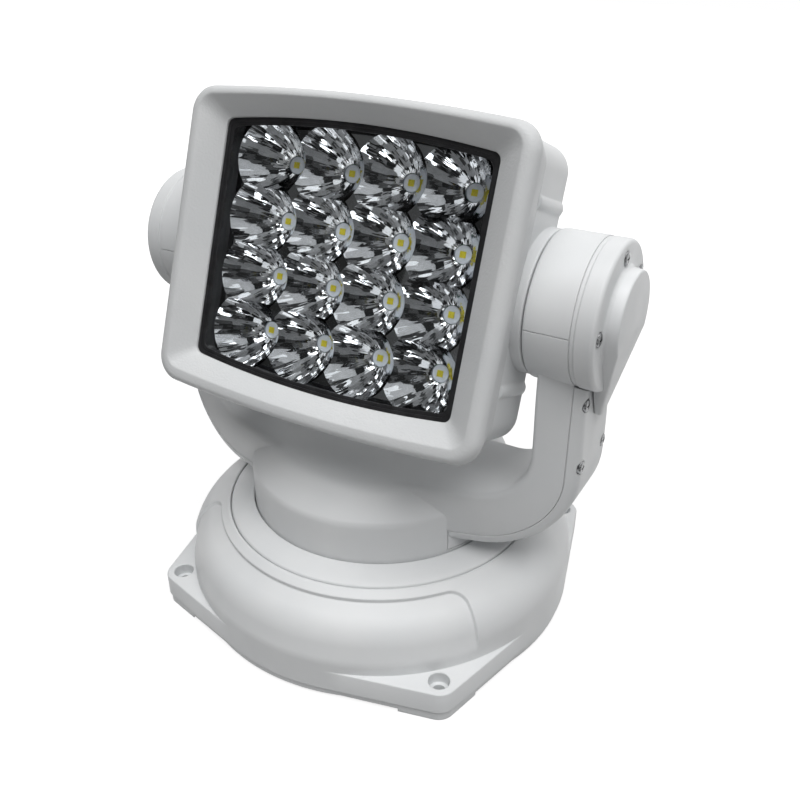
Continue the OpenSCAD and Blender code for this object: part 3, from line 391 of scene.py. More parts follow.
class Nodes:
    """A material's node tree with short ways to add and join nodes."""

    def __init__(self, name):
        self.material = bpy.data.materials.new(name)
        self.material.use_nodes = True
        self.tree = self.material.node_tree
        self.shader = self.tree.nodes["Principled BSDF"]
        self.output = self.tree.nodes["Material Output"]
        self.places = self.add("ShaderNodeTexCoord")

    def add(self, kind, **settings):
        node = self.tree.nodes.new(kind)
        for key, value in settings.items():
            if hasattr(node, key):
                setattr(node, key, value)
            else:
                node.inputs[key.replace("_", " ")].default_value = value
        return node

    def join(self, source, target):
        self.tree.links.new(source, target)

    def set(self, **values):
        for key, value in values.items():
            self.shader.inputs[key.replace("_", " ")].default_value = value

    def noise(self, size_mm, detail, stretch=None):
        """Noise whose patches are about size_mm wide."""
        node = self.add("ShaderNodeTexNoise", Detail=detail)
        node.inputs["Scale"].default_value = 1.0 / (size_mm * MM)
        source = self.places.outputs["Object"]
        if stretch:
            mapping = self.add("ShaderNodeMapping")
            mapping.inputs["Scale"].default_value = stretch
            self.join(source, mapping.inputs["Vector"])
            source = mapping.outputs["Vector"]
        self.join(source, node.inputs["Vector"])
        return node.outputs["Fac"]

    def tint(self, fac, dark, light):
        """The shader's colour, from dark to light along fac."""
        ramp = self.add("ShaderNodeValToRGB")
        ramp.color_ramp.elements[0].position = 0.3
        ramp.color_ramp.elements[0].color = (*dark, 1)
        ramp.color_ramp.elements[1].position = 0.7
        ramp.color_ramp.elements[1].color = (*light, 1)
        self.join(fac, ramp.inputs["Fac"])
        self.join(ramp.outputs["Color"], self.shader.inputs["Base Color"])

    def rough(self, fac, low, high):
        spread = self.add("ShaderNodeMapRange")
        spread.inputs["From Min"].default_value = 0.3
        spread.inputs["From Max"].default_value = 0.7
        spread.inputs["To Min"].default_value = low
        spread.inputs["To Max"].default_value = high
        self.join(fac, spread.inputs["Value"])
        self.join(spread.outputs["Result"], self.shader.inputs["Roughness"])

    def bump(self, height, depth_mm, strength=1.0, edge_mm=0.0):
        """Relief of a given depth, over edges that are rounded by edge_mm."""
        bump = self.add("ShaderNodeBump")
        bump.inputs["Strength"].default_value = strength
        bump.inputs["Distance"].default_value = depth_mm * MM
        self.join(height, bump.inputs["Height"])
        if edge_mm:
            bevel = self.add("ShaderNodeBevel", samples=6)
            bevel.inputs["Radius"].default_value = edge_mm * MM
            self.join(bevel.outputs["Normal"], bump.inputs["Normal"])
        self.join(bump.outputs["Normal"], self.shader.inputs["Normal"])


def moulded_plastic(name, dark, light, rough, grain_mm, grain_depth, edge_mm):
    """Injection-moulded plastic: faint cloudy tint, uneven gloss and a fine grain."""
    n = Nodes(name)
    n.tint(n.noise(38, 4), dark, light)
    n.rough(n.noise(9, 3), rough - 0.05, rough + 0.06)
    n.bump(n.noise(grain_mm, 2), grain_depth, 1.0, edge_mm)
    n.set(IOR=1.5)
    return n.material


def black_rubber():
    n = Nodes("black_rubber")
    n.tint(n.noise(6, 4), (0.008, 0.008, 0.009), (0.02, 0.02, 0.022))
    n.rough(n.noise(2.5, 3), 0.3, 0.45)
    n.bump(n.noise(0.4, 2), 0.006)
    return n.material


def mirror_coat():
    """Bright vacuum coating whose fine ripples run out from each cup's hole."""
    n = Nodes("mirror_coat")
    n.tint(n.noise(20, 3), (0.80, 0.81, 0.83), (0.88, 0.89, 0.90))
    n.rough(n.noise(5, 3), 0.0, 0.03)
    ripple = n.add("ShaderNodeTexNoise", Detail=1.0, Scale=1.0)
    mapping = n.add("ShaderNodeMapping")
    mapping.inputs["Scale"].default_value = (30.0, 2.2, 1.0)
    n.join(n.places.outputs["UV"], mapping.inputs["Vector"])
    n.join(mapping.outputs["Vector"], ripple.inputs["Vector"])
    n.bump(ripple.outputs["Fac"], 0.12, 1.0)
    n.set(Metallic=1.0)
    return n.material


def clear_lens():
    """Clear moulded window that lets lamps through."""
    n = Nodes("clear_lens")
    n.rough(n.noise(30, 2), 0.0, 0.03)
    n.set(Base_Color=(0.97, 0.985, 0.99, 1), Transmission_Weight=1.0, IOR=1.45)
    path = n.add("ShaderNodeLightPath")
    clear = n.add("ShaderNodeBsdfTransparent", Color=(0.94, 0.96, 0.97, 1))
    mix = n.add("ShaderNodeMixShader")
    n.join(path.outputs["Is Shadow Ray"], mix.inputs[0])
    n.join(n.shader.outputs["BSDF"], mix.inputs[1])
    n.join(clear.outputs["BSDF"], mix.inputs[2])
    n.join(mix.outputs["Shader"], n.output.inputs["Surface"])
    return n.material


def metal(name, dark, light, low, high, edge_mm, stretch=(1, 1, 1)):
    """Worked metal with fine tool marks."""
    n = Nodes(name)
    n.tint(n.noise(7, 4), dark, light)
    marks = n.noise(0.6, 3, stretch=stretch)
    n.rough(marks, low, high)
    n.bump(marks, 0.01, 0.6, edge_mm)
    n.set(Metallic=1.0)
    return n.material


def circuit_board():
    n = Nodes("circuit_board")
    n.tint(n.noise(3, 2), (0.02, 0.11, 0.05), (0.04, 0.2, 0.09))
    n.rough(n.noise(4, 2), 0.3, 0.45)
    n.bump(n.noise(1.2, 1), 0.03)
    return n.material


def led_ceramic():
    n = Nodes("led_ceramic")
    n.tint(n.noise(1.5, 3), (0.66, 0.69, 0.74), (0.76, 0.79, 0.84))
    n.rough(n.noise(0.8, 2), 0.3, 0.5)
    n.bump(n.noise(0.5, 2), 0.02)
    return n.material


def led_phosphor():
    n = Nodes("led_phosphor")
    n.tint(n.noise(0.5, 3), (0.62, 0.5, 0.02), (0.8, 0.7, 0.05))
    n.rough(n.noise(0.4, 2), 0.3, 0.45)
    n.bump(n.noise(0.3, 2), 0.02)
    n.set(Coat_Weight=0.6, Coat_Roughness=0.1)
    return n.material


WHITE_DARK = (0.71, 0.725, 0.735)
WHITE_LIGHT = (0.76, 0.77, 0.775)
# The front frame's white is the housing's white at 0.86 of its brightness: painted shade for the weaker light
# that falls on the frame.
PEBBLE_SHADED_DARK = tuple(0.86 * c for c in WHITE_DARK)
PEBBLE_SHADED_LIGHT = tuple(0.86 * c for c in WHITE_LIGHT)
white = moulded_plastic("white_plastic", WHITE_DARK, WHITE_LIGHT, 0.4, 1.0, 0.012, 0.7)
pebbled = moulded_plastic("white_pebbled_painted_shade", PEBBLE_SHADED_DARK, PEBBLE_SHADED_LIGHT, 0.46, 0.9, 0.11, 0.5)
rubber = black_rubber()
mirror = mirror_coat()
lens_clear = clear_lens()
board = circuit_board()
ceramic = led_ceramic()
phosphor = led_phosphor()
alloy = metal("powdered_alloy", (0.55, 0.56, 0.57), (0.64, 0.65, 0.66), 0.42, 0.58, 0.3)
# The screw steel is far darker than stainless: painted shade for the sunk seats the screws sit in, and a
# painted dark reflection.
steel = metal("screw_steel_painted_shade", (0.2, 0.205, 0.21), (0.3, 0.305, 0.31), 0.16, 0.3, 0.12)
bronze = metal("bush_bronze", (0.45, 0.3, 0.12), (0.6, 0.42, 0.18), 0.3, 0.45, 0.15)
motor_can = metal("motor_can", (0.4, 0.41, 0.42), (0.5, 0.51, 0.53), 0.3, 0.45, 0.2, (1, 1, 0.2))
SLOT_MATERIALS = {
    "white_housing": white,
    "white_bezel": pebbled,
    "black_seal": rubber,
    "lens_clear": lens_clear,
    "mirror_cups": mirror,
    "board": board,
    "led_white": ceramic,
    "led_phosphor": phosphor,
    "cast_alloy": alloy,
    "stainless": steel,
    "bronze": bronze,
    "motor_can": motor_can,
}


# Base

def dome_points():
    """The dome's outer profile from the lug level up to the groove, in (radius, z)."""
    first = PANEL_LOW - PANEL_BLEND
    points = [(BASE_R, LUG_TOP + 0.02), (BASE_R, first)]
    points += [(BASE_R, first + (ROUND_Z0 - first) * k / 16) for k in range(1, 16)]
    points += arc((ROUND_R0, ROUND_Z0), DOME_ROUND, 0, 58, 26)
    for k in range(1, 45):
        r = SLOPE_R + (GROOVE_R + GROOVE_SOFT - SLOPE_R) * k / 44
        points.append((r, SLOPE_Z + (SLOPE_R - r) * math.tan(DOME_SLOPE)))
    edge = (GROOVE_R, DOME_TOP)
    start = points[-1]
    for t in (0.25, 0.5, 0.75, 1.0):
        r = start[0] * (1 - t) ** 2 + edge[0] * (2 * t * (1 - t) + t * t)
        z = start[1] * (1 - t) ** 2 + edge[1] * 2 * t * (1 - t) + (edge[1] - GROOVE_SOFT) * t * t
        points.append((r, z))
    return points


def panel_inset(r, z):
    """Depth of the sunk panel along the dome's surface normal, and that normal, at a profile point."""
    dx = BASE_R - ROUND_R0
    dz = PANEL_LOW - ROUND_Z0
    sunk = DOME_ROUND - PANEL_DEPTH
    touch = math.atan2(dz, dx) + math.acos(sunk / math.hypot(dx, dz))
    rise = z - PANEL_LOW
    if rise <= -PANEL_BLEND:
        return 0.0, (1.0, 0.0)
    if rise < PANEL_BLEND:
        return math.tan(touch) * (rise + PANEL_BLEND) ** 2 / (4 * PANEL_BLEND), (1.0, 0.0)
    if z < ROUND_Z0:
        return math.tan(touch) * rise, (1.0, 0.0)
    if r < SLOPE_R:
        return PANEL_DEPTH, (math.sin(DOME_SLOPE), math.cos(DOME_SLOPE))
    angle = math.atan2(z - ROUND_Z0, r - ROUND_R0)
    depth = PANEL_DEPTH
    if angle < touch:
        depth = DOME_ROUND - sunk / math.cos(touch - angle)
    return depth, (math.cos(angle), math.sin(angle))


def panel_mask(turn, r):
    """How far a point is inside the panel: 0 outside, 1 on its floor. turn is its angle from the front."""
    to_end = (PANEL_HALF - abs(turn)) * r
    to_top = (r - PANEL_EDGE_R) / math.cos(DOME_SLOPE)
    inside = min(to_end, to_top)
    if to_end < PANEL_ROUND and to_top < PANEL_ROUND:
        inside = PANEL_ROUND - math.hypot(PANEL_ROUND - to_end, PANEL_ROUND - to_top)
    return smooth_step(-PANEL_SOFT / 2, PANEL_SOFT / 2, inside)


def lug_radius(angle):
    """Radius of the base's outline with its lugs, at an angle in radians."""
    quarter = math.pi / 2
    off = abs(angle % quarter - quarter / 2)
    tip = math.atan2(LUG_ROUND * math.sin(LUG_ANGLE), LUG_DIST + LUG_ROUND * math.cos(LUG_ANGLE))
    if off < tip:
        return LUG_DIST * math.cos(off) + math.sqrt(LUG_ROUND ** 2 - (LUG_DIST * math.sin(off)) ** 2)
    if off < LUG_ANGLE:
        return BASE_R / math.cos(LUG_ANGLE - off)
    return BASE_R


def base_angles():
    """Angles round the base in radians, closer together at the lug tips and at the panel's ends."""
    angles = {round(0.75 * k, 3) for k in range(480)}
    for corner in (45, 135, 225, 315):
        angles |= {round(corner - 3 + 0.2 * k, 3) for k in range(31)}
    for end in (270 - math.degrees(PANEL_HALF), 270 + math.degrees(PANEL_HALF)):
        angles |= {round(end - 7 + 0.2 * k, 3) for k in range(71)}
    return [math.radians(a) for a in sorted(angles)]


def base_housing():
    profile = dome_points()
    inner = BASE_R - BASE_WALL
    rings = []
    for angle in base_angles():
        turn = (angle + math.pi / 2 + math.pi) % (2 * math.pi) - math.pi
        lug = lug_radius(angle)
        soft = min(LUG_EDGE, lug - BASE_R)
        section = [(lug - FOOT_INSET, HOUSING_Z), (lug, HOUSING_Z + FOOT_RISE), (lug, LUG_TOP - LUG_EDGE)]
        section += [(lug - 0.3 * soft, LUG_TOP - 0.3 * LUG_EDGE), (lug - soft, LUG_TOP)]
        for r, z in profile:
            depth, normal = panel_inset(r, z)
            depth *= panel_mask(turn, r)
            section.append((r - depth * normal[0], z - depth * normal[1]))
        section += [(GROOVE_R, SEAT_Z), (BUSH_BORE, SEAT_Z), (BUSH_BORE, SEAT_Z - BASE_WALL)]
        section += [(SLOPE_R - BASE_WALL, SLOPE_Z - BASE_WALL - 1), (inner, ROUND_Z0), (inner, HOUSING_Z)]
        rings.append([(r * math.cos(angle), r * math.sin(angle), z) for r, z in section])
    obj = new_object("base_shell", loft(rings, loop=True))
    bore = [(0, HOUSING_Z - 2), (DECK_HOLE_R, HOUSING_Z - 2), (DECK_HOLE_R, LUG_TOP - DECK_CBORE_DEPTH)]
    mouth = DECK_CBORE_R + DECK_CHAMFER
    bore += [(DECK_CBORE_R, LUG_TOP - DECK_CBORE_DEPTH), (DECK_CBORE_R, LUG_TOP - DECK_CHAMFER)]
    bore += [(mouth, LUG_TOP), (mouth, LUG_TOP + 6), (0, LUG_TOP + 6)]
    cutter = turned(bore, steps=64)
    tools = []
    for x in (-DECK_HALF, DECK_HALF):
        for y in (-DECK_HALF, DECK_HALF):
            tools.append(placed(cutter, lambda p, x=x, y=y: (p[0] + x, p[1] + y, p[2])))
    combined(obj, joined(*tools), "DIFFERENCE")
    finished(obj, "base", ["base_housing"], white)


def retaining_ring():
    crest = DOME_TOP + RING_RISE
    profile = [(RING_IN, SEAT_Z + 0.1), (RING_OUT, SEAT_Z + 0.1)]
    profile += arc((RING_OUT - RING_EDGE, DOME_TOP - 1.25), RING_EDGE, 0, 66, 7)
    profile += [(RING_OUT - 3.0, DOME_TOP + 0.75), (RING_OUT - 3.3, DOME_TOP + 0.84)]
    profile += arc((RING_IN + RING_CREST, crest - RING_CREST), RING_CREST, 77, 180, 6)
    obj = new_object("trim_ring", turned(profile))
    finished(obj, "base", ["retaining_ring"], white, 20)


# Yoke

def half_depth(x):
    """Distance of the yoke's front from the tilt axis, at a distance from the middle."""
    return ARM_HALF_D + (YOKE_HALF - abs(x)) * ARM_TAPER


def yoke_stations():
    """Pairs of inner and outer points in (x, z) along the yoke, from the right arm to the left."""
    top = TILT_Z - DRUM_R / 2
    inner_z = HUB_TOP + BEND_IN
    right = []
    for k in range(9):
        t = k / 8
        right.append(((ARM_IN, top + (inner_z - top) * t), (YOKE_HALF, top + (BEND_Z - top) * t)))
    inner = arc((ARM_IN - BEND_IN, inner_z), BEND_IN, 0, -90, 32)
    outer = arc((BEND_X, BEND_Z), BEND_OUT, 0, -90, 32)
    right += list(zip(inner, outer))[1:]
    for k in range(1, 4):
        right.append(((inner[-1][0] * (1 - k / 4), HUB_TOP), (outer[-1][0] * (1 - k / 4), YOKE_LOW)))
    left = [((-i[0], i[1]), (-o[0], o[1])) for i, o in right[::-1]]
    return right + [((0.0, HUB_TOP), (0.0, YOKE_LOW))] + left


def yoke_frame():
    """Web and both arms: flat behind, tapered in front, with soft inner edges and crisp outer ones."""
    rings = []
    for inner, outer in yoke_stations():
        length = math.hypot(outer[0] - inner[0], outer[1] - inner[1])
        soft = INNER_SOFT * (1 - 0.4 * smooth_step(100, 125, inner[1]))
        corner = []
        for k in range(7):
            a = math.radians(15 * k)
            corner.append((soft * (1 - math.cos(a)), soft * (1 - math.sin(a))))
        corner += [(length - 0.3, 0.0), (length - 0.1, 0.1), (length, 0.3)]
        front = []
        rear = []
        for depth, back in corner:
            t = depth / length
            x = inner[0] + (outer[0] - inner[0]) * t
            z = inner[1] + (outer[1] - inner[1]) * t
            front.append((x, back - half_depth(x), z))
            rear.append((x, ARM_HALF_D - back, z))
        rings.append(front + rear[::-1])
    return new_object("yoke_shell", loft(rings))


def drum_profile():
    """Half section of a drum's wall and inner end, in (radius, x)."""
    profile = [(BUSH_OUT, DRUM_IN), (DRUM_R - DRUM_ROUND, DRUM_IN)]
    profile += arc((DRUM_R - DRUM_ROUND, DRUM_IN + DRUM_ROUND), DRUM_ROUND, -75, 0, 6)
    profile += [(DRUM_R, DRUM_OUT - DRUM_EDGE), (DRUM_R - DRUM_EDGE, DRUM_OUT), (DRUM_BORE, DRUM_OUT)]
    profile += [(DRUM_BORE, DRUM_IN + END_WALL), (BUSH_OUT, DRUM_IN + END_WALL)]
    return profile


def yoke_body():
    obj = yoke_frame()
    bore = placed(rod(DRUM_BORE, DRUM_IN + END_WALL, DRUM_OUT + 3, TURN_STEPS), on_tilt)
    combined(obj, joined(bore, placed(bore, mirrored)), "DIFFERENCE")
    hub = [(0, HUB_LOW), (HUB_R - 0.4, HUB_LOW), (HUB_R, HUB_LOW + 0.4)]
    hub += arc((HUB_R - HUB_ROUND, HUB_SHOULDER), HUB_ROUND, 0, HUB_LEAN, 12)
    reach = HUB_CROWN * math.tan(math.radians((90 - HUB_LEAN) / 2))
    hub += arc((HUB_TOP_R - reach, HUB_TOP - HUB_CROWN), HUB_CROWN, HUB_LEAN, 90, 12)
    hub += [(0, HUB_TOP)]
    combined(obj, turned(hub), "UNION")
    drum = placed(turned(drum_profile(), 180, 180, 96), on_tilt)
    combined(obj, joined(drum, placed(drum, mirrored)), "UNION")
    land = skirt_shape(JOINT_GAP, 1.0)
    combined(obj, joined(land, placed(land, mirrored)), "DIFFERENCE")
    finished(obj, "yoke", ["yoke_body"], white)


def skirt_angles(grow):
    """Where a cover's skirt starts and ends on the hub, in degrees from +X."""
    ends = [y + math.copysign(grow, y) for y in (-SKIRT_HALF, SKIRT_REAR)]
    return [math.degrees(math.asin(y / HUB_R)) for y in ends]


def skirt_shape(grow, proud):
    """Curved skirt of the right cover on the hub's side."""
    start, end = skirt_angles(grow)
    low = SKIRT_LOW - grow
    profile = [(HUB_R - SKIRT_T - grow, low), (HUB_R + proud, low)]
    profile += [(HUB_R + proud, YOKE_LOW), (HUB_R - SKIRT_T - grow, YOKE_LOW)]
    return turned(profile, start, end - start, 48)


def cover_thickness(z):
    """Thickness of an arm cover at a height: it thins towards the drum."""
    return COVER_T - (COVER_T - COVER_EDGE) * max(0.0, z - COVER_FULL) / (TILT_Z - COVER_FULL)


def arm_cover(name, side):
    """Outer cover of one arm: a strip along the yoke's outside with drafted edges, then a soft chamfer."""
    steps = 40
    top = TILT_Z - 18
    path = [((YOKE_HALF, top + (BEND_Z - top) * k / 8), (1.0, 0.0)) for k in range(8)]
    for i in range(steps + 1):
        a = math.radians(-90 * i / steps)
        n = (math.cos(a), math.sin(a))
        path.append(((BEND_X + BEND_OUT * n[0], BEND_Z + BEND_OUT * n[1]), n))
    path.append(((HUB_R - 12, YOKE_LOW), (0.0, -1.0)))
    rings = []
    for p, n in path:
        full = cover_thickness(p[1])
        section = [(JOINT_GAP, 0.15), (0.35, 0.05), (COVER_EDGE - 0.9, 0.65), (COVER_EDGE - 0.2, 0.95)]
        section += [(COVER_EDGE + (full - COVER_EDGE) * 0.45, 1.6)]
        section += [(full - 0.16, 2.6), (full - 0.03, 3.5), (full, 4.6)]
        front = []
        rear = []
        for off, back in section:
            x = p[0] + n[0] * off
            z = p[1] + n[1] * off
            front.append((x, back - half_depth(x), z))
            rear.append((x, ARM_HALF_D - back, z))
        rings.append(front + rear[::-1])
    strip = new_object(name, loft(rings))
    drum = placed(rod(DRUM_R + 0.3, DRUM_IN, CAP_FACE, TURN_STEPS), on_tilt)
    combined(strip, drum, "DIFFERENCE")
    combined(strip, rod(HUB_R + JOINT_GAP, HUB_LOW, HUB_TOP + 5, TURN_STEPS), "DIFFERENCE")
    seats = []
    for z in SCREW_HEIGHTS:
        floor = YOKE_HALF + cover_thickness(z) - SCREW_SINK
        for y in (-SCREW_HALF, SCREW_HALF):
            seats.append(screw_seat(floor, y, z))
    combined(strip, joined(*seats), "DIFFERENCE")
    start, end = skirt_angles(0.0)
    plate = [(HUB_R - SKIRT_T, SKIRT_LOW), (HUB_R - 0.3, SKIRT_LOW), (HUB_R, SKIRT_LOW + 0.3)]
    plate += [(HUB_R, YOKE_LOW - 0.3), (HUB_R - SKIRT_T, YOKE_LOW - 0.3)]
    skirt = new_object("skirt", turned(plate, start, end - start, 48))
    merged(strip, skirt)
    if side < 0:
        strip.data.transform(Matrix.Scale(-1, 4, (1, 0, 0)))
        strip.data.flip_normals()
    return strip


def screw_seat(floor, y, z):
    """Round sink for a screw's head on the right side, for cutting."""
    profile = [(0, floor), (SCREW_HEAD_R + 0.2, floor), (SCREW_HEAD_R + 0.25, floor + 8), (0, floor + 8)]
    return placed(turned(profile, steps=48), lambda p: (p[2], p[0] + y, p[1] + z))


def merged(obj, other):
    """Puts another object's mesh into obj as loose geometry."""
    bm = bmesh.new()
    bm.from_mesh(obj.data)
    bm.from_mesh(other.data)
    bm.to_mesh(obj.data)
    bm.free()
    mesh = other.data
    bpy.data.objects.remove(other)
    bpy.data.meshes.remove(mesh)


def disc_points(drop, radius, x, steps=96):
    """Points of a disc's edge square to the tilt axis, below it by drop."""
    return [(x, y, TILT_Z - drop + z) for y, z in arc((0, 0), radius, 0, 360, steps)[:-1]]


def hull_of(points):
    """The convex hull of points, as a shape."""
    bm = bmesh.new()
    for p in points:
        bm.verts.new(p)
    result = bmesh.ops.convex_hull(bm, input=bm.verts)
    loose = [v for v in result["geom_interior"] if isinstance(v, bmesh.types.BMVert)]
    bmesh.ops.delete(bm, geom=loose, context="VERTS")
    bm.verts.index_update()
    shape = [tuple(v.co) for v in bm.verts], [tuple(v.index for v in f.verts) for f in bm.faces]
    bm.free()
    return shape


def end_cap(name, side):
    """Drum cap with its boss, the tail that runs down over the cover and the sunk screw seats."""
    collar = DRUM_R - CAP_GROOVE
    low = DRUM_OUT + CAP_JOINT
    spigot = DRUM_BORE - 0.1
    profile = [(0, DRUM_OUT - CAP_SPIGOT), (spigot, DRUM_OUT - CAP_SPIGOT), (spigot, low), (collar, low)]
    profile += [(collar, CAP_IN), (DRUM_R - 0.25, CAP_IN), (DRUM_R, CAP_IN + 0.25)]
    profile += arc((DRUM_R - CAP_ROUND, CAP_FACE - CAP_ROUND), CAP_ROUND, 0, 84, 8)
    profile += arc((BOSS_R + BOSS_FILLET - 0.1, CAP_FACE + BOSS_FILLET), BOSS_FILLET, 270, 186, 6)
    profile += [(BOSS_R - 2, CAP_FACE + BOSS_FILLET), (0, CAP_FACE + BOSS_FILLET)]
    obj = new_object(name, placed(turned(profile), on_tilt))
    foot = YOKE_HALF + cover_thickness(TILT_Z - TAIL_L) + 0.3
    tail = disc_points(0, BOSS_R - 0.05, foot) + disc_points(0, BOSS_R - 0.05, CAP_FACE + 0.5)
    for k in range(5):
        a = math.radians(22.5 * k)
        rise = BOSS_ROUND * math.sin(a) - BOSS_ROUND
        inset = BOSS_ROUND * math.cos(a) - BOSS_ROUND
        round_face = disc_points(0, BOSS_R - BOSS_DRAFT + inset, BOSS_FACE + rise)
        tail += [q for q in round_face if q[2] > TILT_Z - TAIL_START]
        tail += disc_points(TAIL_L - TAIL_R, TAIL_R + inset, foot + TAIL_T + rise)
    tail += disc_points(TAIL_L - TAIL_R, TAIL_R, foot)
    combined(obj, hull_of(tail), "UNION")
    seats = []
    for angle in CAP_SCREW_ANGLES:
        y = CAP_SCREW_R * math.cos(math.radians(angle))
        z = CAP_SCREW_R * math.sin(math.radians(angle))
        seats.append(screw_seat(CAP_FACE - CAP_SINK, y, TILT_Z + z))
    combined(obj, joined(*seats), "DIFFERENCE")
    if side < 0:
        obj.data.transform(Matrix.Scale(-1, 4, (1, 0, 0)))
        obj.data.flip_normals()
    return obj


def yoke_pieces():
    yoke_body()
    shell = placed(turned(drum_profile(), 0.35, 179.3, 96), on_tilt)
    for name, side in (("right", 1), ("left", -1)):
        upper = new_object("drum_top_" + name, shell if side > 0 else placed(shell, mirrored))
        finished(upper, "yoke", ["drum_shell_" + name], white)
        cover = arm_cover("arm_strip_" + name, side)
        finished(cover, "yoke", ["arm_cover_" + name], white)
        cap = end_cap("drum_cap_" + name, side)
        finished(cap, "yoke", ["end_cap_" + name], white, 24)


# Head

def ring_mix(a, b, t):
    return tuple(p + (q - p) * t for p, q in zip(a, b))


def eased(rings, index, reach, steps=3):
    """Section rings with one of them turned into a short curve, reach mm to each side."""
    here = rings[index]
    sides = []
    for other in (rings[index - 1], rings[index + 1]):
        length = math.hypot(other[0] - here[0], other[4] - here[4])
        sides.append(ring_mix(here, other, min(0.45, reach / length)))
    curve = []
    for k in range(steps + 1):
        t = k / steps
        first = ring_mix(sides[0], here, t)
        curve.append(ring_mix(first, ring_mix(here, sides[1], t), t))
    return rings[:index] + curve + rings[index + 1:]


def head_loft(rings, loop=True):
    """Skin over rings given as half width, half height, bow, rounding and distance forward."""
    points = [[in_head((u, ring[4], v)) for u, v in barrel(*ring[:4])] for ring in rings]
    return loft(points, loop)


def bezel():
    """Front frame, which flares from the seam to a rim that is deeper below the window than above it."""
    rings = [
        (HEAD_HALF_W - SKIRT_IN - 0.3, HEAD_HALF_H - SKIRT_IN - 0.3, HEAD_BOW, HEAD_ROUND - 1, SEAM_D + 0.25),
        (HEAD_HALF_W - SKIRT_IN, HEAD_HALF_H - SKIRT_IN, HEAD_BOW, HEAD_ROUND - 1, SEAM_D + 0.55),
    ]
    flare = len(rings)
    for k in range(9):
        a = math.radians(90 * k / 8)
        inset = RIM_ROUND * (1 - math.cos(a))
        rings.append((
            FRAME_HALF_W - inset, FRAME_TOP - inset * 0.6, HEAD_BOW, FRAME_ROUND - inset / 2,
            FRONT_D - RIM_ROUND + RIM_ROUND * math.sin(a),
        ))
    rings.append((FRAME_HALF_W - RIM_W, RIM_HALF_H, HEAD_BOW + 0.2, FRAME_ROUND - 4.5, FRONT_D))
    rim = len(rings) - 1
    rings += [
        (WIN_HALF_W, WIN_HALF_H, WIN_BOW, WIN_ROUND, WIN_D),
        (WIN_HALF_W, WIN_HALF_H, WIN_BOW, WIN_ROUND, LAND_D),
        (WIN_HALF_W + POCKET, WIN_HALF_H + POCKET, WIN_BOW, WIN_ROUND + 1.5, LAND_D),
        (WIN_HALF_W + POCKET, WIN_HALF_H + POCKET, WIN_BOW, WIN_ROUND + 1.5, LENS_BACK + 0.3),
        (SPIGOT_W + 0.3, SPIGOT_H + 0.3, HEAD_BOW, SPIGOT_ROUND, LENS_BACK + 0.3),
        (SPIGOT_W + 0.3, SPIGOT_H + 0.3, HEAD_BOW, SPIGOT_ROUND, SEAM_D + 0.25),
    ]
    rings = eased(rings, rim + 1, 0.3)
    rings = eased(rings, rim, 0.7)
    points = []
    for index, ring in enumerate(rings):
        low = FRAME_LOW / FRAME_TOP if flare <= index < rim else 1.0
        outline = [(u, v * low if v < 0 else v) for u, v in barrel(*ring[:4])]
        points.append([in_head((u, ring[4], v)) for u, v in outline])
    obj = new_object("front_frame", loft(points, True))
    finished(obj, "head", ["bezel"], pebbled, 28)


def ribbed(points, amount):
    """A housing outline with the screw ribs standing out of it by a share of their height."""
    sink = RIB_R - RIB_H
    bow_r = (HOUSE_W ** 2 + HEAD_BOW ** 2) / (2 * HEAD_BOW)
    result = []
    for u, v in points:
        if abs(v) < RIB_SIDE + 2 * RIB_R and abs(u) > HOUSE_W - 1:
            off = abs(abs(v) - RIB_SIDE)
            rise = math.sqrt(max(0.0, RIB_R ** 2 - off ** 2)) - sink
            u += math.copysign(max(0.0, rise) * amount, u)
        elif abs(v) > HOUSE_H - bow_r + math.sqrt(bow_r ** 2 - u * u) - 1:
            off = abs(abs(u) - RIB_TOP)
            rise = math.sqrt(max(0.0, RIB_R ** 2 - off ** 2)) - sink
            v += math.copysign(max(0.0, rise) * amount, v)
        result.append((u, v))
    return result


def head_housing():
    """Body of the head with its screw ribs, and the round cheeks that stand up to the drums."""
    count = 960
    rings = []
    for inset, d, amount in (
        (0.3, SEAM_D, 0.0), (0.0, SEAM_D - 0.3, 0.0), (0.0, SEAM_D - 0.6, 0.9), (0.0, SEAM_D - 1.0, 1.0),
        (0.0, -REAR_D + 1.6, 1.0), (0.0, -REAR_D + 0.9, 0.75), (0.0, -REAR_D + 0.75, 0.0),
        (0.25, -REAR_D + 0.2, 0.0), (0.8, -REAR_D, 0.0),
    ):
        outline = barrel(HOUSE_W - inset, HOUSE_H - inset, HEAD_BOW, HOUSE_ROUND, count)
        rings.append([in_head((u, d, v)) for u, v in ribbed(outline, amount)])
    opening = (SINK_W, SINK_H, WIN_BOW, WIN_ROUND)
    inside = (HOUSE_W - HEAD_WALL, HOUSE_H - HEAD_WALL, HEAD_BOW, HOUSE_ROUND - HEAD_WALL)
    for shape, d in ((opening, -REAR_D), (opening, -REAR_D + 4), (inside, -REAR_D + 4), (inside, SEAM_D)):
        rings.append([in_head((u, d, v)) for u, v in barrel(*shape, count)])
    obj = new_object("head_body", loft(rings, loop=True))
    cheek = [(0, HOUSE_W - HEAD_WALL), (CHEEK_R, HOUSE_W - HEAD_WALL)]
    cheek += arc((CHEEK_R - CHEEK_ROUND, CHEEK_FACE - CHEEK_ROUND), CHEEK_ROUND, 0, 90, 5)
    cheek += [(0, CHEEK_FACE)]
    cheek = placed(turned(cheek), on_tilt)
    combined(obj, joined(cheek, placed(cheek, mirrored)), "UNION")
    finished(obj, "head", ["head_housing"], white)


def lens():
    outline = (WIN_HALF_W + POCKET - 0.3, WIN_HALF_H + POCKET - 0.3, WIN_BOW, WIN_ROUND + 1.2)
    rings = [outline + (LENS_FRONT - 0.02,), outline + (LENS_BACK + 0.02,)]
    finished(new_object("window", head_loft(rings, False)), "head", ["lens"], lens_clear)


def window_ring(show, corner, depth):
    """One outline of the window's seal, so far inside the bezel's window."""
    return (WIN_HALF_W - show, WIN_HALF_H - show, WIN_BOW, corner, depth)


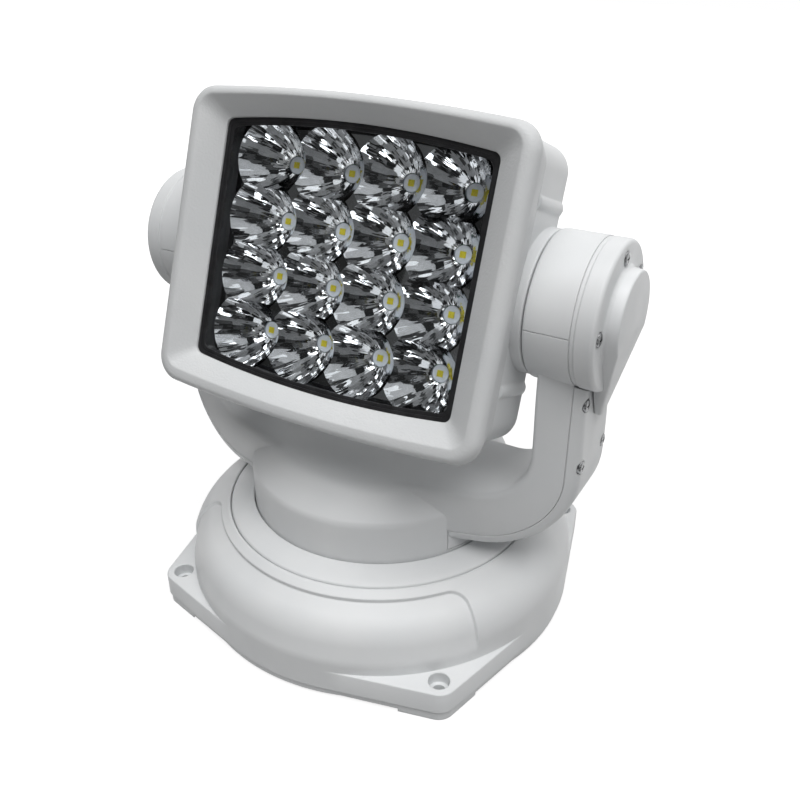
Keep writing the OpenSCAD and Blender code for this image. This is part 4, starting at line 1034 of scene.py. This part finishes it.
def gasket():
    """Stepped seal lip in front of the lens, and the sleeve from the lens down to the tray."""
    rings = []
    for show, corner, depth in (
        (0.3 - POCKET, WIN_ROUND + 1.2, LENS_FRONT), (0.3 - POCKET, WIN_ROUND + 1.2, LAND_D - 0.02),
        (GASKET_STEP - 0.25, WIN_ROUND, LAND_D - 0.02), (GASKET_STEP, WIN_ROUND, LAND_D - 0.12),
        (GASKET_STEP, WIN_ROUND, LAND_D - 0.35), (GASKET_SHOW - 0.3, WIN_ROUND, LAND_D - 0.35),
        (GASKET_SHOW - 0.08, WIN_ROUND, LAND_D - 0.43), (GASKET_SHOW, WIN_ROUND, LAND_D - 0.6),
        (GASKET_SHOW, WIN_ROUND, LENS_FRONT),
    ):
        rings.append(window_ring(show, corner, depth))
    lip = head_loft(rings)
    sleeve = head_loft([
        window_ring(-0.4, WIN_ROUND, LENS_BACK - 0.02), window_ring(SLEEVE_SHOW, WIN_ROUND, LENS_BACK - 0.02),
        window_ring(SLEEVE_SHOW, WIN_ROUND, MOUTH_D), window_ring(-0.4, WIN_ROUND, MOUTH_D),
    ])
    obj = new_object("window_seal", joined(lip, sleeve))
    finished(obj, "head", ["lens_gasket"], rubber)


def cup_height(r):
    """Height of a cup's parabola above its hole."""
    return CUP_DEPTH * (r * r - CUP_HOLE_R ** 2) / (CUP_R ** 2 - CUP_HOLE_R ** 2)


def cup_centres():
    middle = (CUPS - 1) / 2
    return [((i - middle) * PITCH_U, (j - middle) * PITCH_V) for i in range(CUPS) for j in range(CUPS)]


def tray_top(u):
    """Height of the tray's bowed upper edge, at a distance from its middle."""
    bow_r = (TRAY_W ** 2 + WIN_BOW ** 2) / (2 * WIN_BOW)
    return TRAY_H - bow_r + math.sqrt(max(0.0, bow_r ** 2 - u * u))


def tray_edge(u0, v0, angle):
    """Distance from a point to the tray's bowed outline, along an angle."""
    low = 0.0
    high = 40.0
    for _ in range(30):
        mid = (low + high) / 2
        u = abs(u0 + mid * math.cos(angle))
        v = abs(v0 + mid * math.sin(angle))
        if u < TRAY_W - 0.4 and v < tray_top(u) - 0.4:
            low = mid
        else:
            high = mid
    return low


def cup_reach(u0, v0, angle):
    """Radius where a cup ends: its mouth, its neighbour or the tray's edge."""
    reach = CUP_R
    cos_a = abs(math.cos(angle))
    sin_a = abs(math.sin(angle))
    last_u = PITCH_U * (CUPS - 1) / 2
    last_v = PITCH_V * (CUPS - 1) / 2
    if cos_a > 0.01 and abs(u0 + math.copysign(PITCH_U, math.cos(angle))) <= last_u + 1:
        reach = min(reach, PITCH_U / 2 / cos_a)
    if sin_a > 0.01 and abs(v0 + math.copysign(PITCH_V, math.sin(angle))) <= last_v + 1:
        reach = min(reach, PITCH_V / 2 / sin_a)
    return min(reach, tray_edge(u0, v0, angle))


def cup_angles():
    """Angles round a cup, with the ends of its shared edges among them."""
    angles = {round(2.5 * k, 4) for k in range(144)}
    cut_u = math.degrees(math.acos(PITCH_U / 2 / CUP_R))
    cut_v = math.degrees(math.asin(PITCH_V / 2 / CUP_R))
    for base in (0, 180):
        for a in (cut_u, -cut_u, cut_v, 180 - cut_v):
            angles.add(round((base + a) % 360, 4))
    return [math.radians(a) for a in sorted(angles)]


def reflector():
    """Tray of bright cups that meet in shared ridges, with small flat posts between them."""
    angles = cup_angles()
    steps = 28
    verts = []
    faces = []
    spots = []
    flat = [Vector(p) for p in barrel(TRAY_W, TRAY_H, WIN_BOW, WIN_ROUND, 320)]
    loops = [list(range(len(flat)))]
    sides = len(angles)
    for number, (u0, v0) in enumerate(cup_centres()):
        shift = 0.37 * (number // CUPS + CUPS * (number % CUPS))
        reach = [cup_reach(u0, v0, a) for a in angles]
        start = len(verts)
        for k in range(-1, steps + 1):
            t = max(0, k) / steps
            for a, limit in zip(angles, reach):
                r = CUP_HOLE_R + (limit - CUP_HOLE_R) * t
                d = CUP_LOW + cup_height(r) - (CUP_LIP if k < 0 else 0.0)
                verts.append(in_head((u0 + r * math.cos(a), d, v0 + r * math.sin(a))))
                spots.append((a / (2 * math.pi) + shift, r / CUP_R))
        for k in range(steps + 1):
            for s in range(sides):
                n = (s + 1) % sides
                a = start + k * sides
                faces.append((a + s, a + n, a + sides + n, a + sides + s))
        rim = []
        for a, limit in zip(angles, reach):
            rim.append(len(flat))
            flat.append(Vector((u0 + limit * math.cos(a), v0 + limit * math.sin(a))))
        loops.append(rim)
    edges = []
    for loop in loops:
        edges += [(loop[k], loop[(k + 1) % len(loop)]) for k in range(len(loop))]
    points, _, triangles, _, _, _ = delaunay_2d_cdt(flat, edges, [], 0, 1e-4)

    def on_top(centre):
        for u0, v0 in cup_centres():
            off = centre - Vector((u0, v0))
            if off.length < cup_reach(u0, v0, math.atan2(off.y, off.x)) - 1e-3:
                return False
        return abs(centre.x) < TRAY_W and abs(centre.y) < tray_top(abs(centre.x))

    start = len(verts)
    verts += [in_head((p.x, MOUTH_D, p.y)) for p in points]
    spots += [(0.5, 0.5)] * len(points)
    for triangle in triangles:
        centre = sum((points[k] for k in triangle), Vector((0, 0))) / len(triangle)
        if on_top(centre):
            faces.append(tuple(start + k for k in triangle))
    mesh = bpy.data.meshes.new("cup_tray")
    mesh.from_pydata([tuple(MM * c for c in p) for p in verts], [], faces)
    layer = mesh.uv_layers.new(name="streaks")
    for polygon in mesh.polygons:
        place = [spots[mesh.loops[k].vertex_index] for k in polygon.loop_indices]
        wrap = max(p[0] for p in place) - min(p[0] for p in place) > 0.5
        for k, p in zip(polygon.loop_indices, place):
            across = p[0] + (1.0 if wrap and p[0] - min(q[0] for q in place) < 0.5 else 0.0)
            layer.data[k].uv = (across, p[1])
    bm = bmesh.new()
    bm.from_mesh(mesh)
    bmesh.ops.recalc_face_normals(bm, faces=bm.faces)
    bm.to_mesh(mesh)
    bm.free()
    obj = bpy.data.objects.new("cup_tray", mesh)
    bpy.context.scene.collection.objects.link(obj)
    finished(obj, "head", ["reflector"], mirror, 40)


def led_discs():
    profile = [(0, LED_FOOT), (LED_R, LED_FOOT), (LED_R, LED_TOP - LED_EDGE), (LED_R - LED_EDGE, LED_TOP)]
    disc = turned(profile + [(0, LED_TOP)], steps=48)
    discs = []
    for u0, v0 in cup_centres():
        at_cup = [in_head((u0 + x, CUP_LOW + z, v0 + y)) for x, y, z in disc[0]]
        discs.append((at_cup, disc[1]))
    obj = new_object("led_discs", joined(*discs))
    finished(obj, "head", ["led_packages"], ceramic)


# Stage

def studio_floor():
    """Pale floor that is white to the camera and keeps the part's shadow."""
    mesh = bpy.data.meshes.new("floor")
    corners = [(FLOOR_HALF * x, FLOOR_HALF * y, 0) for x, y in ((-1, -1), (1, -1), (1, 1), (-1, 1))]
    mesh.from_pydata(corners, [], [(0, 1, 2, 3)])
    floor = bpy.data.objects.new("floor", mesh)
    bpy.context.scene.collection.objects.link(floor)
    n = Nodes("pale_floor")
    n.tint(n.noise(400, 2), (0.29, 0.29, 0.29), (0.31, 0.31, 0.31))
    n.set(Roughness=0.9)
    n.shader.inputs["Emission Color"].default_value = (1, 1, 1, 1)
    away = n.add("ShaderNodeVectorMath", operation="LENGTH")
    n.join(n.places.outputs["Object"], away.inputs[0])
    far = n.add("ShaderNodeMapRange", interpolation_type="SMOOTHSTEP")
    for name, value in (("From Min", 0.2), ("From Max", 0.7), ("To Min", FLOOR_GLOW), ("To Max", 1.0)):
        far.inputs[name].default_value = value
    n.join(away.outputs["Value"], far.inputs["Value"])
    glow = n.add("ShaderNodeMath", operation="MULTIPLY")
    n.join(seen_directly(n.tree), glow.inputs[0])
    n.join(far.outputs["Result"], glow.inputs[1])
    n.join(glow.outputs["Value"], n.shader.inputs["Emission Strength"])
    mesh.materials.append(n.material)


def seen_directly(tree):
    """1 for what the camera, mirrors and glass see, and 0 for light that falls on the part."""
    path = tree.nodes.new("ShaderNodeLightPath")
    any_ray = path.outputs["Is Camera Ray"]
    for name in ("Is Glossy Ray", "Is Transmission Ray"):
        either = tree.nodes.new("ShaderNodeMath")
        either.operation = "MAXIMUM"
        tree.links.new(any_ray, either.inputs[0])
        tree.links.new(path.outputs[name], either.inputs[1])
        any_ray = either.outputs["Value"]
    return any_ray


def studio_world(light):
    """Even light on the part, and a white surround for the camera, mirrors and glass."""
    world = bpy.data.worlds.new("studio")
    bpy.context.scene.world = world
    world.use_nodes = True
    tree = world.node_tree
    back = tree.nodes["Background"]
    back.inputs["Color"].default_value = (1, 1, 1, 1)
    spread = tree.nodes.new("ShaderNodeMapRange")
    spread.inputs["To Min"].default_value = light
    spread.inputs["To Max"].default_value = 1.0
    tree.links.new(seen_directly(tree), spread.inputs["Value"])
    tree.links.new(spread.outputs["Result"], back.inputs["Strength"])


def studio_cards():
    """Black, dim and grey cards round the light's front, with gaps, that only the bright cups mirror."""
    centre = Vector((0, 0, CARD_HEIGHT))
    verts = []
    faces = []
    tones = []
    for i in CARD_COLUMNS:
        for j in CARD_ROWS:
            tone = CARD_TONES[(5 * i + 3 * j + i * j) % len(CARD_TONES)]
            if -5 < i < -1 and -1 < j < 3:  # what the tray's flat posts and the window mirror
                tone = DIM if (i + j) % 2 else BLACK
            if tone == OPEN:
                continue
            start = len(verts)
            for da, de in ((0, 0), (1, 0), (1, 1), (0, 1)):
                a = math.radians(CARD_STEP * (i - 0.5 + da))
                e = math.radians(CARD_STEP * (j - 0.5 + de))
                away = Vector((math.sin(a) * math.cos(e), -math.cos(a) * math.cos(e), math.sin(e)))
                reach = CARD_DISTANCE
                if away.z < 0:
                    reach = min(reach, (centre.z - 0.002) / -away.z)
                verts.append(tuple(centre + reach * away))
            faces.append((start, start + 1, start + 2, start + 3))
            tones.append(tone)
    mesh = bpy.data.meshes.new("studio_cards")
    mesh.from_pydata(verts, [], faces)
    # In the order of BLACK, GREY and DIM
    for name, dark, light in (("card_black", 0.015, 0.03), ("card_grey", 0.5, 0.65), ("card_dim", 0.1, 0.16)):
        n = Nodes(name)
        n.tint(n.noise(200, 2), (dark, dark, dark), (light, light, light))
        n.set(Roughness=1.0)
        mesh.materials.append(n.material)
    for polygon, tone in zip(mesh.polygons, tones):
        polygon.material_index = tone
    obj = bpy.data.objects.new("studio_cards", mesh)
    obj.visible_camera = False
    obj.visible_diffuse = False
    obj.visible_shadow = False
    bpy.context.scene.collection.objects.link(obj)


def softbox(name, place, target, size, power):
    data = bpy.data.lights.new(name, "AREA")
    data.shape = "RECTANGLE"
    data.size, data.size_y = size
    data.energy = power
    lamp = bpy.data.objects.new(name, data)
    lamp.location = place
    lamp.rotation_euler = (Vector(target) - Vector(place)).to_track_quat("-Z", "Y").to_euler()
    bpy.context.scene.collection.objects.link(lamp)


def camera():
    data = bpy.data.cameras.new("camera")
    data.lens = VIEW_LENS
    data.sensor_width = 36.0
    data.clip_start = 0.01
    azimuth = math.radians(VIEW_AZIMUTH)
    elevation = math.radians(VIEW_ELEVATION)
    away = Vector((
        math.sin(azimuth) * math.cos(elevation), -math.cos(azimuth) * math.cos(elevation), math.sin(elevation)
    ))
    obj = bpy.data.objects.new("camera", data)
    obj.location = Vector(VIEW_TARGET) + away * VIEW_DISTANCE
    obj.rotation_euler = away.to_track_quat("Z", "Y").to_euler()
    bpy.context.scene.collection.objects.link(obj)
    bpy.context.scene.camera = obj


for part in frame["record"]["subparts"]:
    node = frame["nodes"][part["node"]]
    node.data.materials.clear()
    node.data.materials.append(SLOT_MATERIALS[part["material_slot"]])

base_housing()
retaining_ring()
yoke_pieces()
bezel()
head_housing()
lens()
gasket()
reflector()
led_discs()

studio_floor()
studio_cards()
studio_world(0.11)
softbox("key", (0.35, -0.55, 2.0), (0, 0, 0.1), (2.3, 1.8), 48.0)
softbox("side_fill", (1.1, -0.2, 0.7), (0, 0, 0.12), (0.7, 0.7), 0.8)
softbox("rear_fill", (0.3, 1.3, 1.1), (0, 0, 0.1), (0.9, 0.9), 2.5)
camera()
bpy.context.scene.view_settings.view_transform = "Standard"
